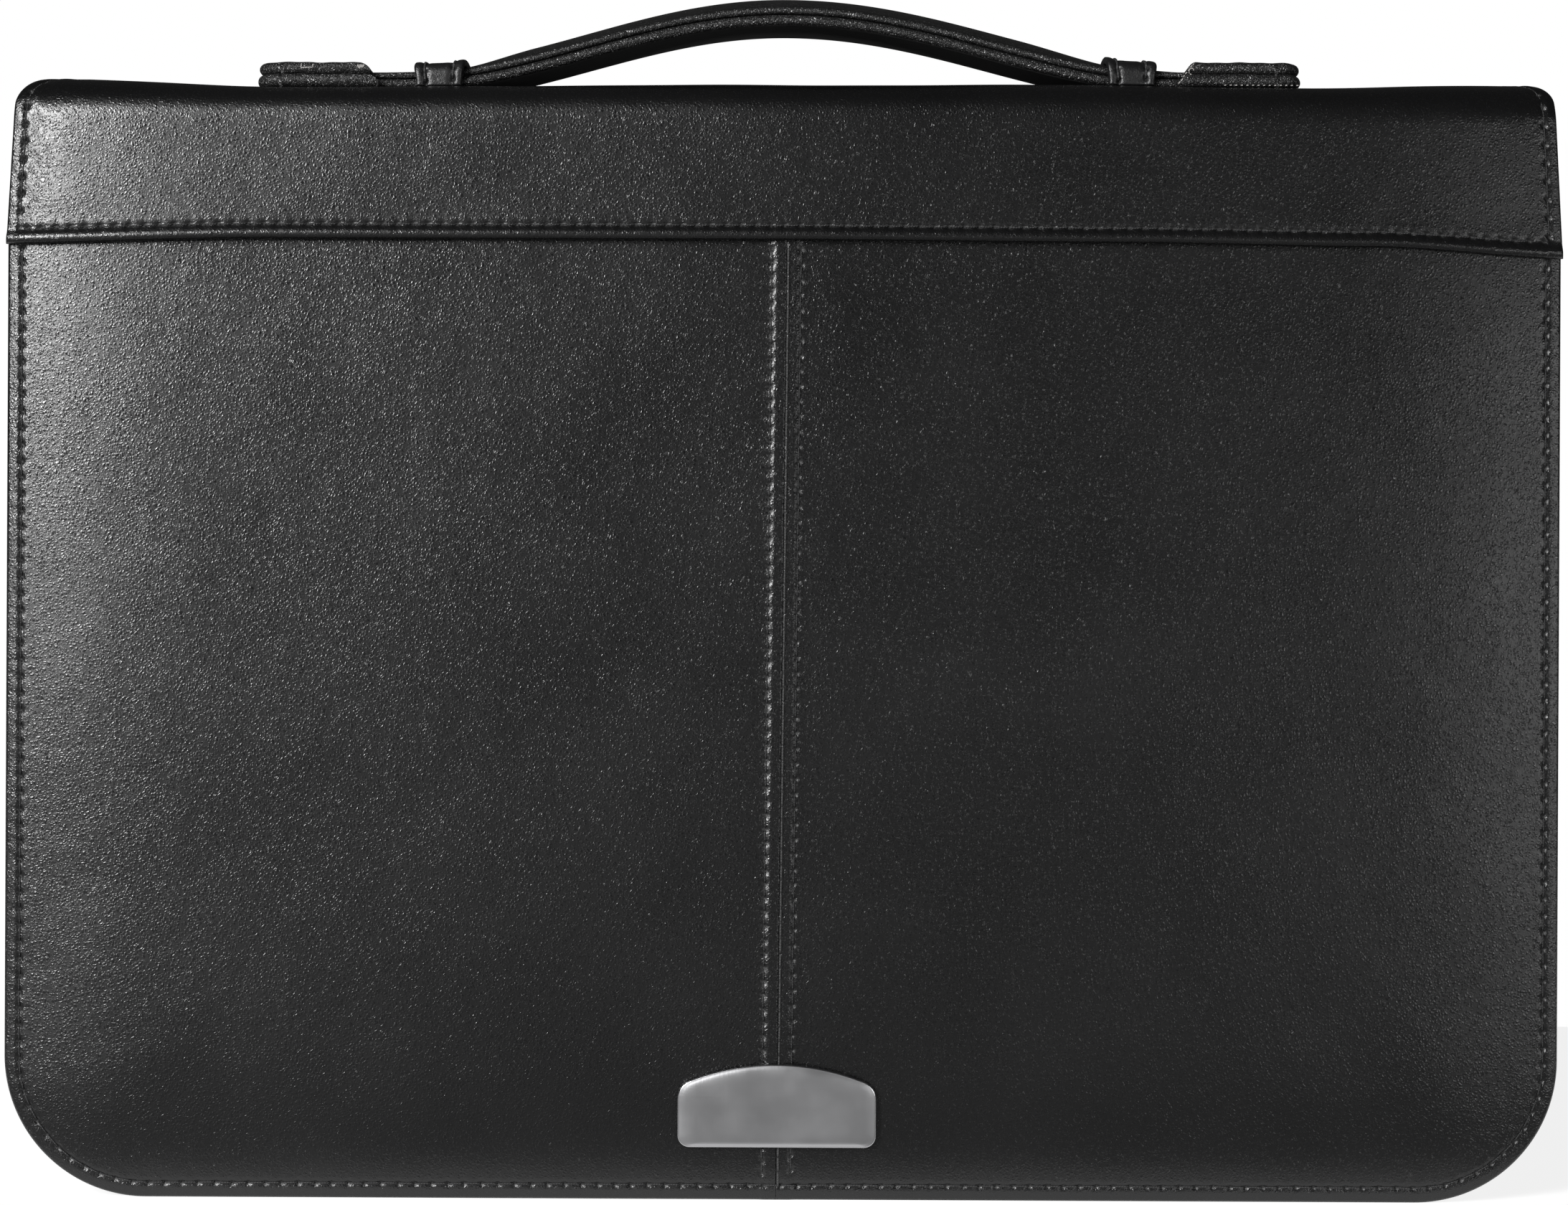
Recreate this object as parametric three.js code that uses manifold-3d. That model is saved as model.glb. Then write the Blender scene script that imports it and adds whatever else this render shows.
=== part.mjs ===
// A leather document case that zips round three sides, standing on its lower edge with its handle half raised.
// Lengths are millimetres. X runs to the right as the front is seen, Y runs to the back and Z runs up.
// The origin is on the floor under the middle of the case.

import * as THREE from 'three';
import { mergeVertices } from 'three/addons/utils/BufferGeometryUtils.js';
import Module from 'manifold-3d';

const wasm = await Module();
wasm.setup();

// Space left between pieces that touch.
const seatGap = 0.3;

// The covers: leather turned over board, with two rounded lower corners.
const caseWidth = 360;
const caseHeight = 260;
const edgeDepth = 34; // over both covers, at their zipped edges
const coverThickness = 2.6;
const cornerRadius = 33;
const coverCrown = 3; // how far the middle of a cover stands proud of its edges
const crownReach = 60; // how far in from an edge the crown takes to rise
const rimBevel = 0.8;
const cornerSteps = 7;

// The yoke: one strip of leather from its hem on the front, over the spine, to its hem on the back.
const yokeDrop = 37.4; // from the top of the spine down to the hem
const yokeThickness = 1.8;
const yokeOverhang = 0.5; // how far its ends reach past the covers at the hem
const yokeTaper = 2.2; // how much narrower it is at each end of the spine than at the hem
const yokeRim = 0.5;
const hemExtra = 0.8; // the folded hem is this much thicker than the strip
const hemWidth = 3.4;
const hemDroop = 3.2; // how far the hem sinks at its lowest end
const hemDroopRows = [
  { share: -1, droop: 0.45 },
  { share: -0.66, droop: 0.05 },
  { share: 0, droop: 0 },
  { share: 0.45, droop: 0.1 },
  { share: 0.75, droop: 0.32 },
  { share: 1, droop: 1 },
];
const spineRadius = 9; // where the front and back turn into the spine
const spineSteps = 5;
const shoulderRadius = 7; // the spine's ends, seen from the front
const spineDip = 1.5; // how far the top of the spine sinks at its deepest
const spineDipRows = [
  { share: -1, dip: 0 },
  { share: -0.66, dip: 1 },
  { share: 0, dip: 0.3 },
  { share: 0.3, dip: 0 },
  { share: 0.69, dip: 0.5 },
  { share: 1, dip: 0 },
];

// The centre seam of the front leans a little.
const seamBottomX = -1;
const seamTopX = 0.8;

// The zip lies in the recess between the covers.
const zipRecess = 5;
const tapeThickness = 1;
const chainWidth = 6;
const chainThickness = 2.4;
const zipBend = 8; // where its ends turn in under the spine
const zipLap = 6; // how far the ends run on under the spine
const zipArcSteps = 7;
const sliderWidth = 8.6;
const sliderLength = 11;
const sliderThickness = 1.9;
const sliderDrop = 20; // from the top of the spine down to the top of the slider
const pullWidth = 5.4;
const pullLength = 30;
const pullThickness = 1.2;

// The name plate low on the front.
const plateWidth = 46;
const plateHeight = 19.5;
const plateShoulder = 14.3; // height of its straight sides
const plateCorner = 2.4;
const plateThickness = 1.8;
const plateBevel = 0.5;
const plateX = -0.5;
const plateBottom = 11.9;

// The handle: two strips, one on the other, that lie on the spine at their ends and arch between the keepers.
const lowerStripThickness = 2.4;
const upperStripThickness = 1.7; // at its edges
const lowerStripWidth = 21;
const upperStripWidth = 19.4;
const archHalf = 80; // from the middle of the handle to where it lies down
const archRise = 14.4;
const archPower = 1.6; // over 1 makes the foot of the arch flatter
const stripStep = 6;
const edgeSteps = 4;
const stripEndShare = 0.85; // thickness of the strips inside the end pads
const stripThinning = 18; // how far before the foot of the arch they start to thin
const stripInPad = 6;
// The upper strip is drawn over a cord, which makes its middle stand proud of its edges.
const stripCrown = 3.6;
const stripCrownRows = [
  { share: -1, crown: 0.1 },
  { share: -0.86, crown: 0.2 },
  { share: -0.6, crown: 0.7 },
  { share: 0, crown: 0.82 },
  { share: 0.56, crown: 0.82 },
  { share: 0.86, crown: 0.4 },
  { share: 1, crown: 0.15 },
];
const crownColumns = [0.72, 0.42, 0, -0.42, -0.72]; // shares of half the flat top

// The thick double pads at the handle's ends, and the loops that the handle slides through.
const padInnerX = 95;
const padLength = 27;
const padWidth = 26;
const padHeight = 5.8;
const padCorner = 6;
const padCornerSteps = 4;
const padLean = 1.6; // how far the top of its inner end leans back
// Heights are shares of padHeight, insets shares of half the height of one roll, and leans shares of padLean.
const padRows = [
  { height: 0, inset: 0.75, lean: 0 },
  { height: 0.1, inset: 0.22, lean: 0 },
  { height: 0.28, inset: 0, lean: 0 },
  { height: 0.46, inset: 0.22, lean: 0 },
  { height: 0.55, inset: 0.8, lean: 0.05 },
  { height: 0.63, inset: 0.45, lean: 0.18 },
  { height: 0.78, inset: 0.25, lean: 0.5 },
  { height: 0.91, inset: 0.5, lean: 0.8 },
  { height: 1, inset: 1.05, lean: 1 },
];
const keeperLeftX = -81;
const keeperRightX = 81;
const keeperWidth = 11.9;
const keeperThickness = 1.4;
const keeperCorner = 1.2;
const keeperSteps = 3;

const leather = new THREE.MeshStandardMaterial({ color: 0x1b1b1c, roughness: 0.45 });
const thickLeather = new THREE.MeshStandardMaterial({ color: 0x161617, roughness: 0.35 });
const webbing = new THREE.MeshStandardMaterial({ color: 0x0f0f10, roughness: 0.9 });
const satinMetal = new THREE.MeshStandardMaterial({ color: 0x9d9d9e, roughness: 0.35, metalness: 1 });

const caseGroup = new THREE.Group();

function addPiece(name, geometry, material) {
  const mesh = new THREE.Mesh(geometry, material);
  mesh.name = name;
  caseGroup.add(mesh);
  return mesh;
}

// The value of one column of a table at a share, eased from row to row.
function eased(table, column, share) {
  const at = THREE.MathUtils.clamp(share, table[0].share, table.at(-1).share);
  const next = Math.max(1, table.findIndex((row) => row.share >= at));
  const from = table[next - 1];
  const to = table[next];
  const part = THREE.MathUtils.smoothstep(at, from.share, to.share);
  return THREE.MathUtils.lerp(from[column], to[column], part);
}

// A closed body from a grid. Layer 0 is the outer face, the last layer is the inner face, and each layer between
// them is a ring round the rim. place(row, column, layer) gives a point. Columns run to the right and rows run up
// on a face that is seen from outside, or the body is turned over.
function sheetGeometry({ rows, columns, layers, place, turned = false }) {
  const corners = [];
  const inner = layers - 1;
  const quad = (a, b, c, d) => corners.push(...(turned ? [a, c, b, a, d, c] : [a, b, c, a, c, d]));
  for (let r = 0; r + 1 < rows; r++) {
    for (let c = 0; c + 1 < columns; c++) {
      quad(place(r, c, 0), place(r, c + 1, 0), place(r + 1, c + 1, 0), place(r + 1, c, 0));
      quad(place(r, c, inner), place(r + 1, c, inner), place(r + 1, c + 1, inner), place(r, c + 1, inner));
    }
  }
  const rim = [];
  for (let c = 0; c + 1 < columns; c++) rim.push([0, c]);
  for (let r = 0; r + 1 < rows; r++) rim.push([r, columns - 1]);
  for (let c = columns - 1; c > 0; c--) rim.push([rows - 1, c]);
  for (let r = rows - 1; r > 0; r--) rim.push([r, 0]);
  for (let layer = 0; layer < inner; layer++) {
    rim.forEach(([r, c], i) => {
      const [nextR, nextC] = rim[(i + 1) % rim.length];
      quad(place(r, c, layer), place(r, c, layer + 1), place(nextR, nextC, layer + 1), place(nextR, nextC, layer));
    });
  }
  return new THREE.BufferGeometry().setFromPoints(corners);
}

// A closed body through rings of points. Each ring runs anticlockwise as seen from the last ring.
function loftGeometry(rings) {
  const corners = [];
  rings.slice(1).forEach((ring, k) => {
    ring.forEach((point, i) => {
      const j = (i + 1) % ring.length;
      corners.push(rings[k][i], rings[k][j], ring[j], rings[k][i], ring[j], point);
    });
  });
  const first = rings[0];
  const last = rings.at(-1);
  for (let i = 1; i + 1 < first.length; i++) {
    corners.push(first[0], first[i + 1], first[i], last[0], last[i], last[i + 1]);
  }
  return new THREE.BufferGeometry().setFromPoints(corners);
}

// A geometry as a manifold-3d solid, and back.
function toSolid(geometry) {
  const bare = new THREE.BufferGeometry();
  bare.setAttribute('position', (geometry.index ? geometry.toNonIndexed() : geometry).getAttribute('position'));
  const merged = mergeVertices(bare, 1e-3);
  const vertProperties = merged.getAttribute('position').array;
  const triVerts = new Uint32Array(merged.index.array);
  return new wasm.Manifold(new wasm.Mesh({ numProp: 3, vertProperties, triVerts }));
}

function toGeometry(solid) {
  const mesh = solid.getMesh();
  const geometry = new THREE.BufferGeometry();
  geometry.setAttribute('position', new THREE.BufferAttribute(mesh.vertProperties, mesh.numProp));
  geometry.setIndex(new THREE.BufferAttribute(mesh.triVerts, 1));
  return geometry;
}

// The form that the covers and the yoke share.

// How far a point of a cover is from its nearest side or lower edge. The spine side is no edge.
function edgeInset(x, z) {
  const side = Math.max(0, caseWidth / 2 - Math.abs(x));
  if (side < cornerRadius && z < cornerRadius) {
    return Math.max(0, cornerRadius - Math.hypot(cornerRadius - side, cornerRadius - z));
  }
  return Math.min(side, z);
}

// How far a cover's outer face is from the plane between the covers.
function coverFace(x, z) {
  const low = 1 - Math.min(1, edgeInset(x, z) / crownReach);
  return edgeDepth / 2 + coverCrown * (1 - low * low);
}

// Steps in from an edge that follow the crown, as shares of crownReach.
const crownSteps = [0, 0.06, 0.16, 0.32, 0.53, 0.76, 1];
const seamLean = (z) => THREE.MathUtils.lerp(seamBottomX, seamTopX, z / caseHeight);
const spineTop = (x) => caseHeight - spineDip * eased(spineDipRows, 'dip', x / (caseWidth / 2));
const coverTop = caseHeight - spineRadius - 2 * rimBevel;

// The rows of a cover, from the floor up, for an outline drawn in by an inset: a height and a half width each.
function coverRows(inset) {
  const rows = [];
  const arm = cornerRadius - inset;
  for (let k = 0; k <= cornerSteps; k++) {
    const angle = (k / cornerSteps) * (Math.PI / 2);
    rows.push({
      z: cornerRadius - arm * Math.cos(angle),
      half: caseWidth / 2 - cornerRadius + arm * Math.sin(angle),
    });
  }
  const above = [crownReach * 0.76, crownReach, caseHeight / 2, caseHeight - yokeDrop];
  for (const z of [...above.filter((level) => level > cornerRadius), coverTop - inset]) {
    rows.push({ z, half: caseWidth / 2 - inset });
  }
  return rows;
}

// A cover, or the half of one: the outer face is set in by the bevel, then the rim, then the flat inner edge.
// across(row, inset) lists the columns' x. side is -1 for the front and 1 for the back.
function coverGeometry(across, side) {
  const insets = [rimBevel, 0, 0];
  const depths = [0, rimBevel, coverThickness];
  const layerRows = insets.map((inset) => coverRows(inset));
  const columns = layerRows.map((rows, layer) => rows.map((row) => across(row, insets[layer])));
  return sheetGeometry({
    rows: layerRows[0].length,
    columns: columns[0][0].length,
    layers: insets.length,
    turned: side > 0,
    place: (r, c, layer) => {
      const x = columns[layer][r][c];
      const z = layerRows[layer][r].z;
      return new THREE.Vector3(x, side * (coverFace(x, z) - depths[layer]), z);
    },
  });
}

// Columns from one side edge to the other, close together where the crown rises.
function fullColumns(half) {
  const steps = crownSteps.map((step) => step * crownReach);
  const plateau = half - crownReach;
  const middle = [-0.5, 0, 0.5].map((share) => share * plateau);
  return [...steps.map((step) => step - half), ...middle, ...steps.map((step) => half - step).reverse()];
}

// The front: two half panels that meet at the leaning seam.
function halfPanelColumns(sign) {
  return (row, inset) => {
    const seam = seamLean(row.z) + sign * (seatGap / 2 + inset);
    const steps = crownSteps.map((step) => sign * (row.half - step * crownReach));
    const columns = [seam, (seam + steps.at(-1)) / 2, ...steps.reverse()];
    return sign > 0 ? columns : columns.reverse();
  };
}

function addPanels() {
  addPiece('front_panel_left', coverGeometry(halfPanelColumns(-1), -1), leather);
  addPiece('front_panel_right', coverGeometry(halfPanelColumns(1), -1), leather);
  addPiece('back_panel', coverGeometry((row) => fullColumns(row.half), 1), leather);
}

// The yoke's outer face lies over the covers' faces by the gap and its own thickness.
function yokeFace(x) {
  const yokeLevel = caseHeight - yokeDrop;
  return coverFace(x, yokeLevel) + seatGap + yokeThickness;
}

// How far the yoke's ends are from the middle, at a height: they lean in towards the spine and round over it.
function yokeHalf(z) {
  const hemHalf = caseWidth / 2 + yokeOverhang;
  const rise = THREE.MathUtils.clamp((z - (caseHeight - yokeDrop)) / yokeDrop, 0, 1);
  const shoulder = Math.max(0, z - (caseHeight - shoulderRadius));
  const roundOff = shoulderRadius - Math.sqrt(Math.max(0, shoulderRadius ** 2 - shoulder ** 2));
  return hemHalf - yokeTaper * rise - roundOff;
}

// Half of the strip's section, as a list of rows from the front hem up to the middle of the spine. A row on the
// face has a height above the hem and an extra thickness, and a row on the bend has an angle.
function yokeSectionRows() {
  const bend = [];
  for (let k = 0; k <= spineSteps; k++) bend.push({ angle: (k / spineSteps) * (Math.PI / 2) });
  return [
    { up: 0, extra: hemExtra / 2 },
    { up: hemExtra, extra: hemExtra },
    { up: hemWidth - hemExtra, extra: hemExtra },
    { up: hemWidth, extra: 0 },
    { up: (yokeDrop - spineRadius + hemWidth) / 2, extra: 0 },
    ...bend,
  ];
}

function addYoke() {
  const half = yokeSectionRows();
  const front = half.map((row) => ({ ...row, side: -1 }));
  const back = half.map((row) => ({ ...row, side: 1 })).reverse();
  const section = [...front, { angle: Math.PI / 2, side: 0 }, ...back];
  const insets = [yokeRim, 0, 0];
  const depths = [0, yokeRim, yokeThickness];
  const columns = fullColumns(1 + crownReach).length;
  addPiece(
    'spine_yoke',
    sheetGeometry({
      rows: section.length,
      columns,
      layers: insets.length,
      place: (r, c, layer) => {
        const row = section[r];
        const inset = insets[layer];
        const bendZ = caseHeight - spineRadius;
        const isHem = r === 0 || r === section.length - 1;
        const bottom = caseHeight - yokeDrop + (isHem ? inset : 0);
        const level = row.up === undefined ? bendZ + spineRadius * Math.sin(row.angle) : bottom + row.up;
        const x = fullColumns(yokeHalf(level) - inset)[c];
        const radius = spineRadius - depths[layer];
        const face = yokeFace(x);
        const sink = caseHeight - spineTop(x);
        if (row.up === undefined) {
          const out = face - spineRadius + radius * Math.cos(row.angle);
          return new THREE.Vector3(x, row.side * out, bendZ + radius * Math.sin(row.angle) - sink * Math.sin(row.angle));
        }
        const droop = row.side < 0 ? hemDroop * eased(hemDroopRows, 'droop', x / (caseWidth / 2)) : 0;
        const fade = 1 - row.up / (yokeDrop - spineRadius);
        const extra = layer === insets.length - 1 ? 0 : row.extra;
        return new THREE.Vector3(x, row.side * (face + extra - depths[layer]), level - droop * fade);
      },
    }),
    leather,
  );
}

// The zip: a band that runs down one side, along the bottom and up the other, with both ends turned in under the
// spine. zipLine gives the band's line at a distance in from the covers' outline.
const zipHalf = coverFace(caseWidth / 2 - zipRecess, caseHeight / 2) - coverThickness - seatGap;
const zipBendX = caseWidth / 2 - zipRecess - zipBend;

// The highest that the band can lie under the yoke's inner bend, at its own edges.
function zipTop() {
  const bendRadius = spineRadius - yokeThickness;
  const bendY = yokeFace(caseWidth / 2 - zipRecess) - spineRadius;
  const beyond = Math.max(0, zipHalf - bendY);
  const headroom = Math.sqrt(Math.max(0, bendRadius ** 2 - beyond ** 2));
  const sink = caseHeight - Math.min(spineTop(zipBendX - zipLap), spineTop(zipLap - zipBendX));
  return caseHeight - spineRadius + headroom - sink - seatGap;
}

function zipLine(inset) {
  const deeper = inset - zipRecess;
  const top = zipTop();
  const cornerX = caseWidth / 2 - cornerRadius;
  const half = Math.PI / 2;
  const line = new THREE.Path();
  line.moveTo(zipLap - zipBendX, top - deeper);
  line.lineTo(-zipBendX, top - deeper);
  line.absarc(-zipBendX, top - zipBend, zipBend - deeper, half, 2 * half, false);
  line.absarc(-cornerX, cornerRadius, cornerRadius - inset, 2 * half, 3 * half, false);
  line.absarc(cornerX, cornerRadius, cornerRadius - inset, 3 * half, 4 * half, false);
  line.absarc(zipBendX, top - zipBend, zipBend - deeper, 0, half, false);
  line.lineTo(zipBendX - zipLap, top - deeper);
  return line.getPoints(zipArcSteps);
}

// A band between two insets, from one depth to another.
function zipBand(outerInset, innerInset, nearY, farY) {
  const outline = [...zipLine(outerInset), ...zipLine(innerInset).reverse()];
  const band = new THREE.ExtrudeGeometry(new THREE.Shape(outline), { depth: farY - nearY, bevelEnabled: false });
  return band.rotateX(Math.PI / 2).translate(0, farY, 0);
}

function addZip() {
  const chainHalf = chainWidth / 2;
  const tapeFrom = chainHalf + seatGap;
  const chainProud = (chainThickness - tapeThickness) / 2;
  const tapeInner = zipRecess + tapeThickness;
  addPiece('zip_tape_front', zipBand(zipRecess, tapeInner, -zipHalf, -tapeFrom), webbing);
  addPiece('zip_tape_back', zipBand(zipRecess, tapeInner, tapeFrom, zipHalf), webbing);
  addPiece('zip_chain', zipBand(zipRecess - chainProud, tapeInner + chainProud, -chainHalf, chainHalf), webbing);

  // The slider and its pull lie on the right-hand stretch of the chain, as one plain piece.
  const body = new THREE.Shape();
  const waist = sliderWidth / 2;
  const shoulder = sliderLength * 0.35;
  body.moveTo(-waist * 0.6, -sliderLength);
  body.lineTo(waist * 0.6, -sliderLength);
  body.lineTo(waist, -shoulder);
  body.lineTo(waist * 0.55, 0);
  body.lineTo(-waist * 0.55, 0);
  body.lineTo(-waist, -shoulder);
  const pull = new THREE.Shape();
  const pullHalf = pullWidth / 2;
  const pullTop = -sliderLength * 0.2;
  pull.moveTo(-pullHalf, pullTop);
  pull.lineTo(-pullHalf, pullTop - pullLength + pullHalf);
  pull.absarc(0, pullTop - pullLength + pullHalf, pullHalf, Math.PI, 2 * Math.PI, false);
  pull.lineTo(pullHalf, pullTop);
  const bodySolid = toSolid(new THREE.ExtrudeGeometry(body, { depth: sliderThickness, bevelEnabled: false }));
  const pullPlate = new THREE.ExtrudeGeometry(pull, { depth: pullThickness, bevelEnabled: false, curveSegments: 5 });
  const sunk = pullThickness / 4;
  const pullSolid = toSolid(pullPlate.translate(0, 0, sliderThickness - sunk));
  const slider = addPiece('zip_slider', toGeometry(bodySolid.add(pullSolid)), satinMetal);
  slider.rotation.set(Math.PI / 2, Math.PI / 2, 0);
  slider.position.set(caseWidth / 2 - zipRecess + chainProud + seatGap, 0, caseHeight - sliderDrop);
}

// The name plate: straight sides, a low arch across the top and rounded lower corners. It lies on the slope of
// the front cover.
function addPlate() {
  const half = plateWidth / 2;
  const crown = plateHeight - plateShoulder;
  const archRadius = (half ** 2 + crown ** 2) / (2 * crown);
  const archHalfAngle = Math.asin((half - plateCorner * 0.6) / archRadius);
  const shape = new THREE.Shape();
  shape.moveTo(plateCorner - half, 0);
  shape.lineTo(half - plateCorner, 0);
  shape.quadraticCurveTo(half, 0, half, plateCorner);
  shape.lineTo(half, plateShoulder - plateCorner * 0.6);
  const archStartX = archRadius * Math.sin(archHalfAngle);
  const archStartZ = plateHeight - archRadius + archRadius * Math.cos(archHalfAngle);
  shape.quadraticCurveTo(half, plateShoulder, archStartX, archStartZ);
  const quarter = Math.PI / 2;
  shape.absarc(0, plateHeight - archRadius, archRadius, quarter - archHalfAngle, quarter + archHalfAngle, false);
  shape.quadraticCurveTo(-half, plateShoulder, -half, plateShoulder - plateCorner * 0.6);
  shape.lineTo(-half, plateCorner);
  shape.quadraticCurveTo(-half, 0, plateCorner - half, 0);
  const geometry = new THREE.ExtrudeGeometry(shape, {
    depth: plateThickness - plateBevel,
    bevelThickness: plateBevel,
    bevelSize: plateBevel,
    bevelOffset: -plateBevel,
    bevelSegments: 2,
    curveSegments: 6,
  });
  // Both faces come out bevelled, and the bevel at the back is cut off to leave that face flat.
  const behind = new THREE.BoxGeometry(2 * plateWidth, 2 * plateWidth, 2 * plateWidth).translate(0, 0, -plateWidth);
  const plateSolid = toSolid(geometry).subtract(toSolid(behind));
  const low = coverFace(plateX, plateBottom);
  const high = coverFace(plateX, plateBottom + plateHeight);
  const middle = coverFace(plateX, plateBottom + plateHeight / 2);
  const bulge = middle - (low + high) / 2;
  const plate = addPiece('name_plate', toGeometry(plateSolid), satinMetal);
  plate.rotation.x = Math.PI / 2 + Math.atan((high - low) / plateHeight);
  plate.position.set(plateX, -low - bulge - seatGap, plateBottom);
}

// The handle. stripBase is the under side of the handle at x, and stripShare the share of its full thickness there.
const stripHeight = lowerStripThickness + seatGap + upperStripThickness;
const handleReach = padInnerX + stripInPad;

function stripBase(x) {
  const reach = Math.abs(x);
  const lying = spineTop(x) + seatGap;
  const arch = reach < archHalf ? archRise * Math.cos(((reach / archHalf) * Math.PI) / 2) ** archPower : 0;
  return lying + arch;
}

function stripShare(x) {
  const thinning = THREE.MathUtils.smoothstep(Math.abs(x), archHalf - stripThinning, padInnerX);
  return THREE.MathUtils.lerp(1, stripEndShare, thinning);
}

const crownAt = (x) => stripCrown * eased(stripCrownRows, 'crown', x / padInnerX);

// A ring of a strip's section at x: a bar with round edges, standing square to the line of the handle. A crowned
// strip's top swells between its edges.
function stripRing(x, width, fromBase, thickness, crowned) {
  const rise = 0.5;
  const slope = Math.atan2(stripBase(x + rise) - stripBase(x - rise), 2 * rise);
  const share = stripShare(x);
  const radius = (thickness * share) / 2;
  const middle = (fromBase + thickness / 2) * share;
  const flatHalf = width / 2 - radius;
  const section = [];
  for (const side of [1, -1]) {
    for (let k = 0; k <= edgeSteps; k++) {
      const angle = side * (k / edgeSteps - 0.5) * Math.PI;
      section.push({ y: side * (flatHalf + radius * Math.cos(angle)), up: middle + radius * Math.sin(angle) });
    }
    if (crowned && side > 0) {
      for (const column of crownColumns) {
        section.push({ y: column * flatHalf, up: middle + radius + crownAt(x) * (1 - column ** 2) });
      }
    }
  }
  const base = stripBase(x);
  return section.map(({ y, up }) => new THREE.Vector3(x - up * Math.sin(slope), y, base + up * Math.cos(slope)));
}

function stripGeometry(width, fromBase, thickness, crowned) {
  const count = Math.ceil((2 * handleReach) / stripStep);
  const rings = [];
  for (let k = 0; k <= count; k++) {
    const x = THREE.MathUtils.lerp(-handleReach, handleReach, k / count);
    rings.push(stripRing(x, width, fromBase, thickness, crowned));
  }
  return loftGeometry(rings);
}

function addStrips() {
  const upperFrom = lowerStripThickness + seatGap;
  const lower = stripGeometry(lowerStripWidth, 0, lowerStripThickness, false);
  const upper = stripGeometry(upperStripWidth, upperFrom, upperStripThickness, true);
  addPiece('handle_strip_lower', lower, thickLeather);
  addPiece('handle_strip_upper', upper, thickLeather);
}

// A pad is two rolls of thick leather, one on the other, with a slot for the strips under its inner end. A ring of it
// is a bar with two round corners at its outer end, drawn in by the row's inset.
function padRing(row) {
  const inset = (row.inset * padHeight) / 4;
  const innerX = inset + row.lean * padLean;
  const half = padWidth / 2 - inset;
  const corner = padCorner - inset;
  const z = row.height * padHeight;
  const ring = [new THREE.Vector3(innerX, -half, z)];
  for (const side of [-1, 1]) {
    for (let k = 0; k <= padCornerSteps; k++) {
      const angle = ((k / padCornerSteps - (1 - side) / 2) * Math.PI) / 2;
      const x = padLength - padCorner + corner * Math.cos(angle);
      ring.push(new THREE.Vector3(x, side * (half - corner) + corner * Math.sin(angle), z));
    }
  }
  ring.push(new THREE.Vector3(innerX, half, z));
  return ring;
}

function addPad(name, side) {
  const base = Math.max(spineTop(side * padInnerX), spineTop(side * (padInnerX + padLength))) + seatGap;
  const turn = new THREE.Matrix4().makeRotationZ(side > 0 ? 0 : Math.PI);
  const place = new THREE.Matrix4().makeTranslation(side * padInnerX, 0, base).multiply(turn);
  const solid = toSolid(loftGeometry(padRows.map(padRing)).applyMatrix4(place));
  // The slot is the handle's own section with the gap all round, and the gap past its end.
  const slotWidth = lowerStripWidth + 2 * seatGap;
  const slotHeight = 2 * (stripHeight * stripEndShare + crownAt(side * padInnerX) + seatGap);
  const slotLength = 2 * (stripInPad + seatGap);
  const slot = new THREE.BoxGeometry(slotLength, slotWidth, slotHeight);
  slot.translate(side * padInnerX, 0, Math.max(base, stripBase(side * padInnerX)));
  addPiece(name, toGeometry(solid.subtract(toSolid(slot))), thickLeather);
}

// A keeper is a loop of leather over the handle, with both feet on the spine. Its top follows the swell.
function keeperSection(x, depth) {
  const half = lowerStripWidth / 2 + seatGap + keeperThickness - depth;
  const top = stripBase(x) + stripHeight * stripShare(x) + seatGap + keeperThickness - depth;
  const foot = spineTop(x) + seatGap;
  const corner = keeperCorner + keeperThickness - depth;
  const leg = [{ y: half, z: foot }];
  for (let k = 0; k <= keeperSteps; k++) {
    const angle = (k / keeperSteps) * (Math.PI / 2);
    leg.push({ y: half - corner + corner * Math.cos(angle), z: top - corner + corner * Math.sin(angle) });
  }
  const swell = crownColumns.map((column) => ({
    y: -column * (half - corner),
    z: top + crownAt(x) * (1 - column ** 2),
  }));
  const far = [...leg].reverse();
  const near = leg.map(({ y, z }) => ({ y: -y, z }));
  return [...near, ...swell, ...far].map(({ y, z }) => new THREE.Vector3(x, y, z));
}

function addKeeper(name, middleX) {
  const stations = [-0.5, 0, 0.5].map((share) => middleX + share * keeperWidth);
  const depths = [0, keeperThickness];
  const sections = depths.map((depth) => stations.map((x) => keeperSection(x, depth)));
  addPiece(
    name,
    sheetGeometry({
      rows: sections[0][0].length,
      columns: stations.length,
      layers: depths.length,
      place: (r, c, layer) => sections[layer][c][r],
    }),
    thickLeather,
  );
}

addPanels();
addYoke();
addZip();
addPlate();
addStrips();
addPad('handle_end_left', -1);
addPad('handle_end_right', 1);
addKeeper('handle_keeper_left', keeperLeftX);
addKeeper('handle_keeper_right', keeperRightX);

export default caseGroup;
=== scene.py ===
"""A black leather document case, standing on its lower edge, as it is seen from the front.

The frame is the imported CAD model. Shapes are worked out in millimetres, in the frame's own axes, and turned
into metres where a mesh is made.
"""

import math

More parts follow.
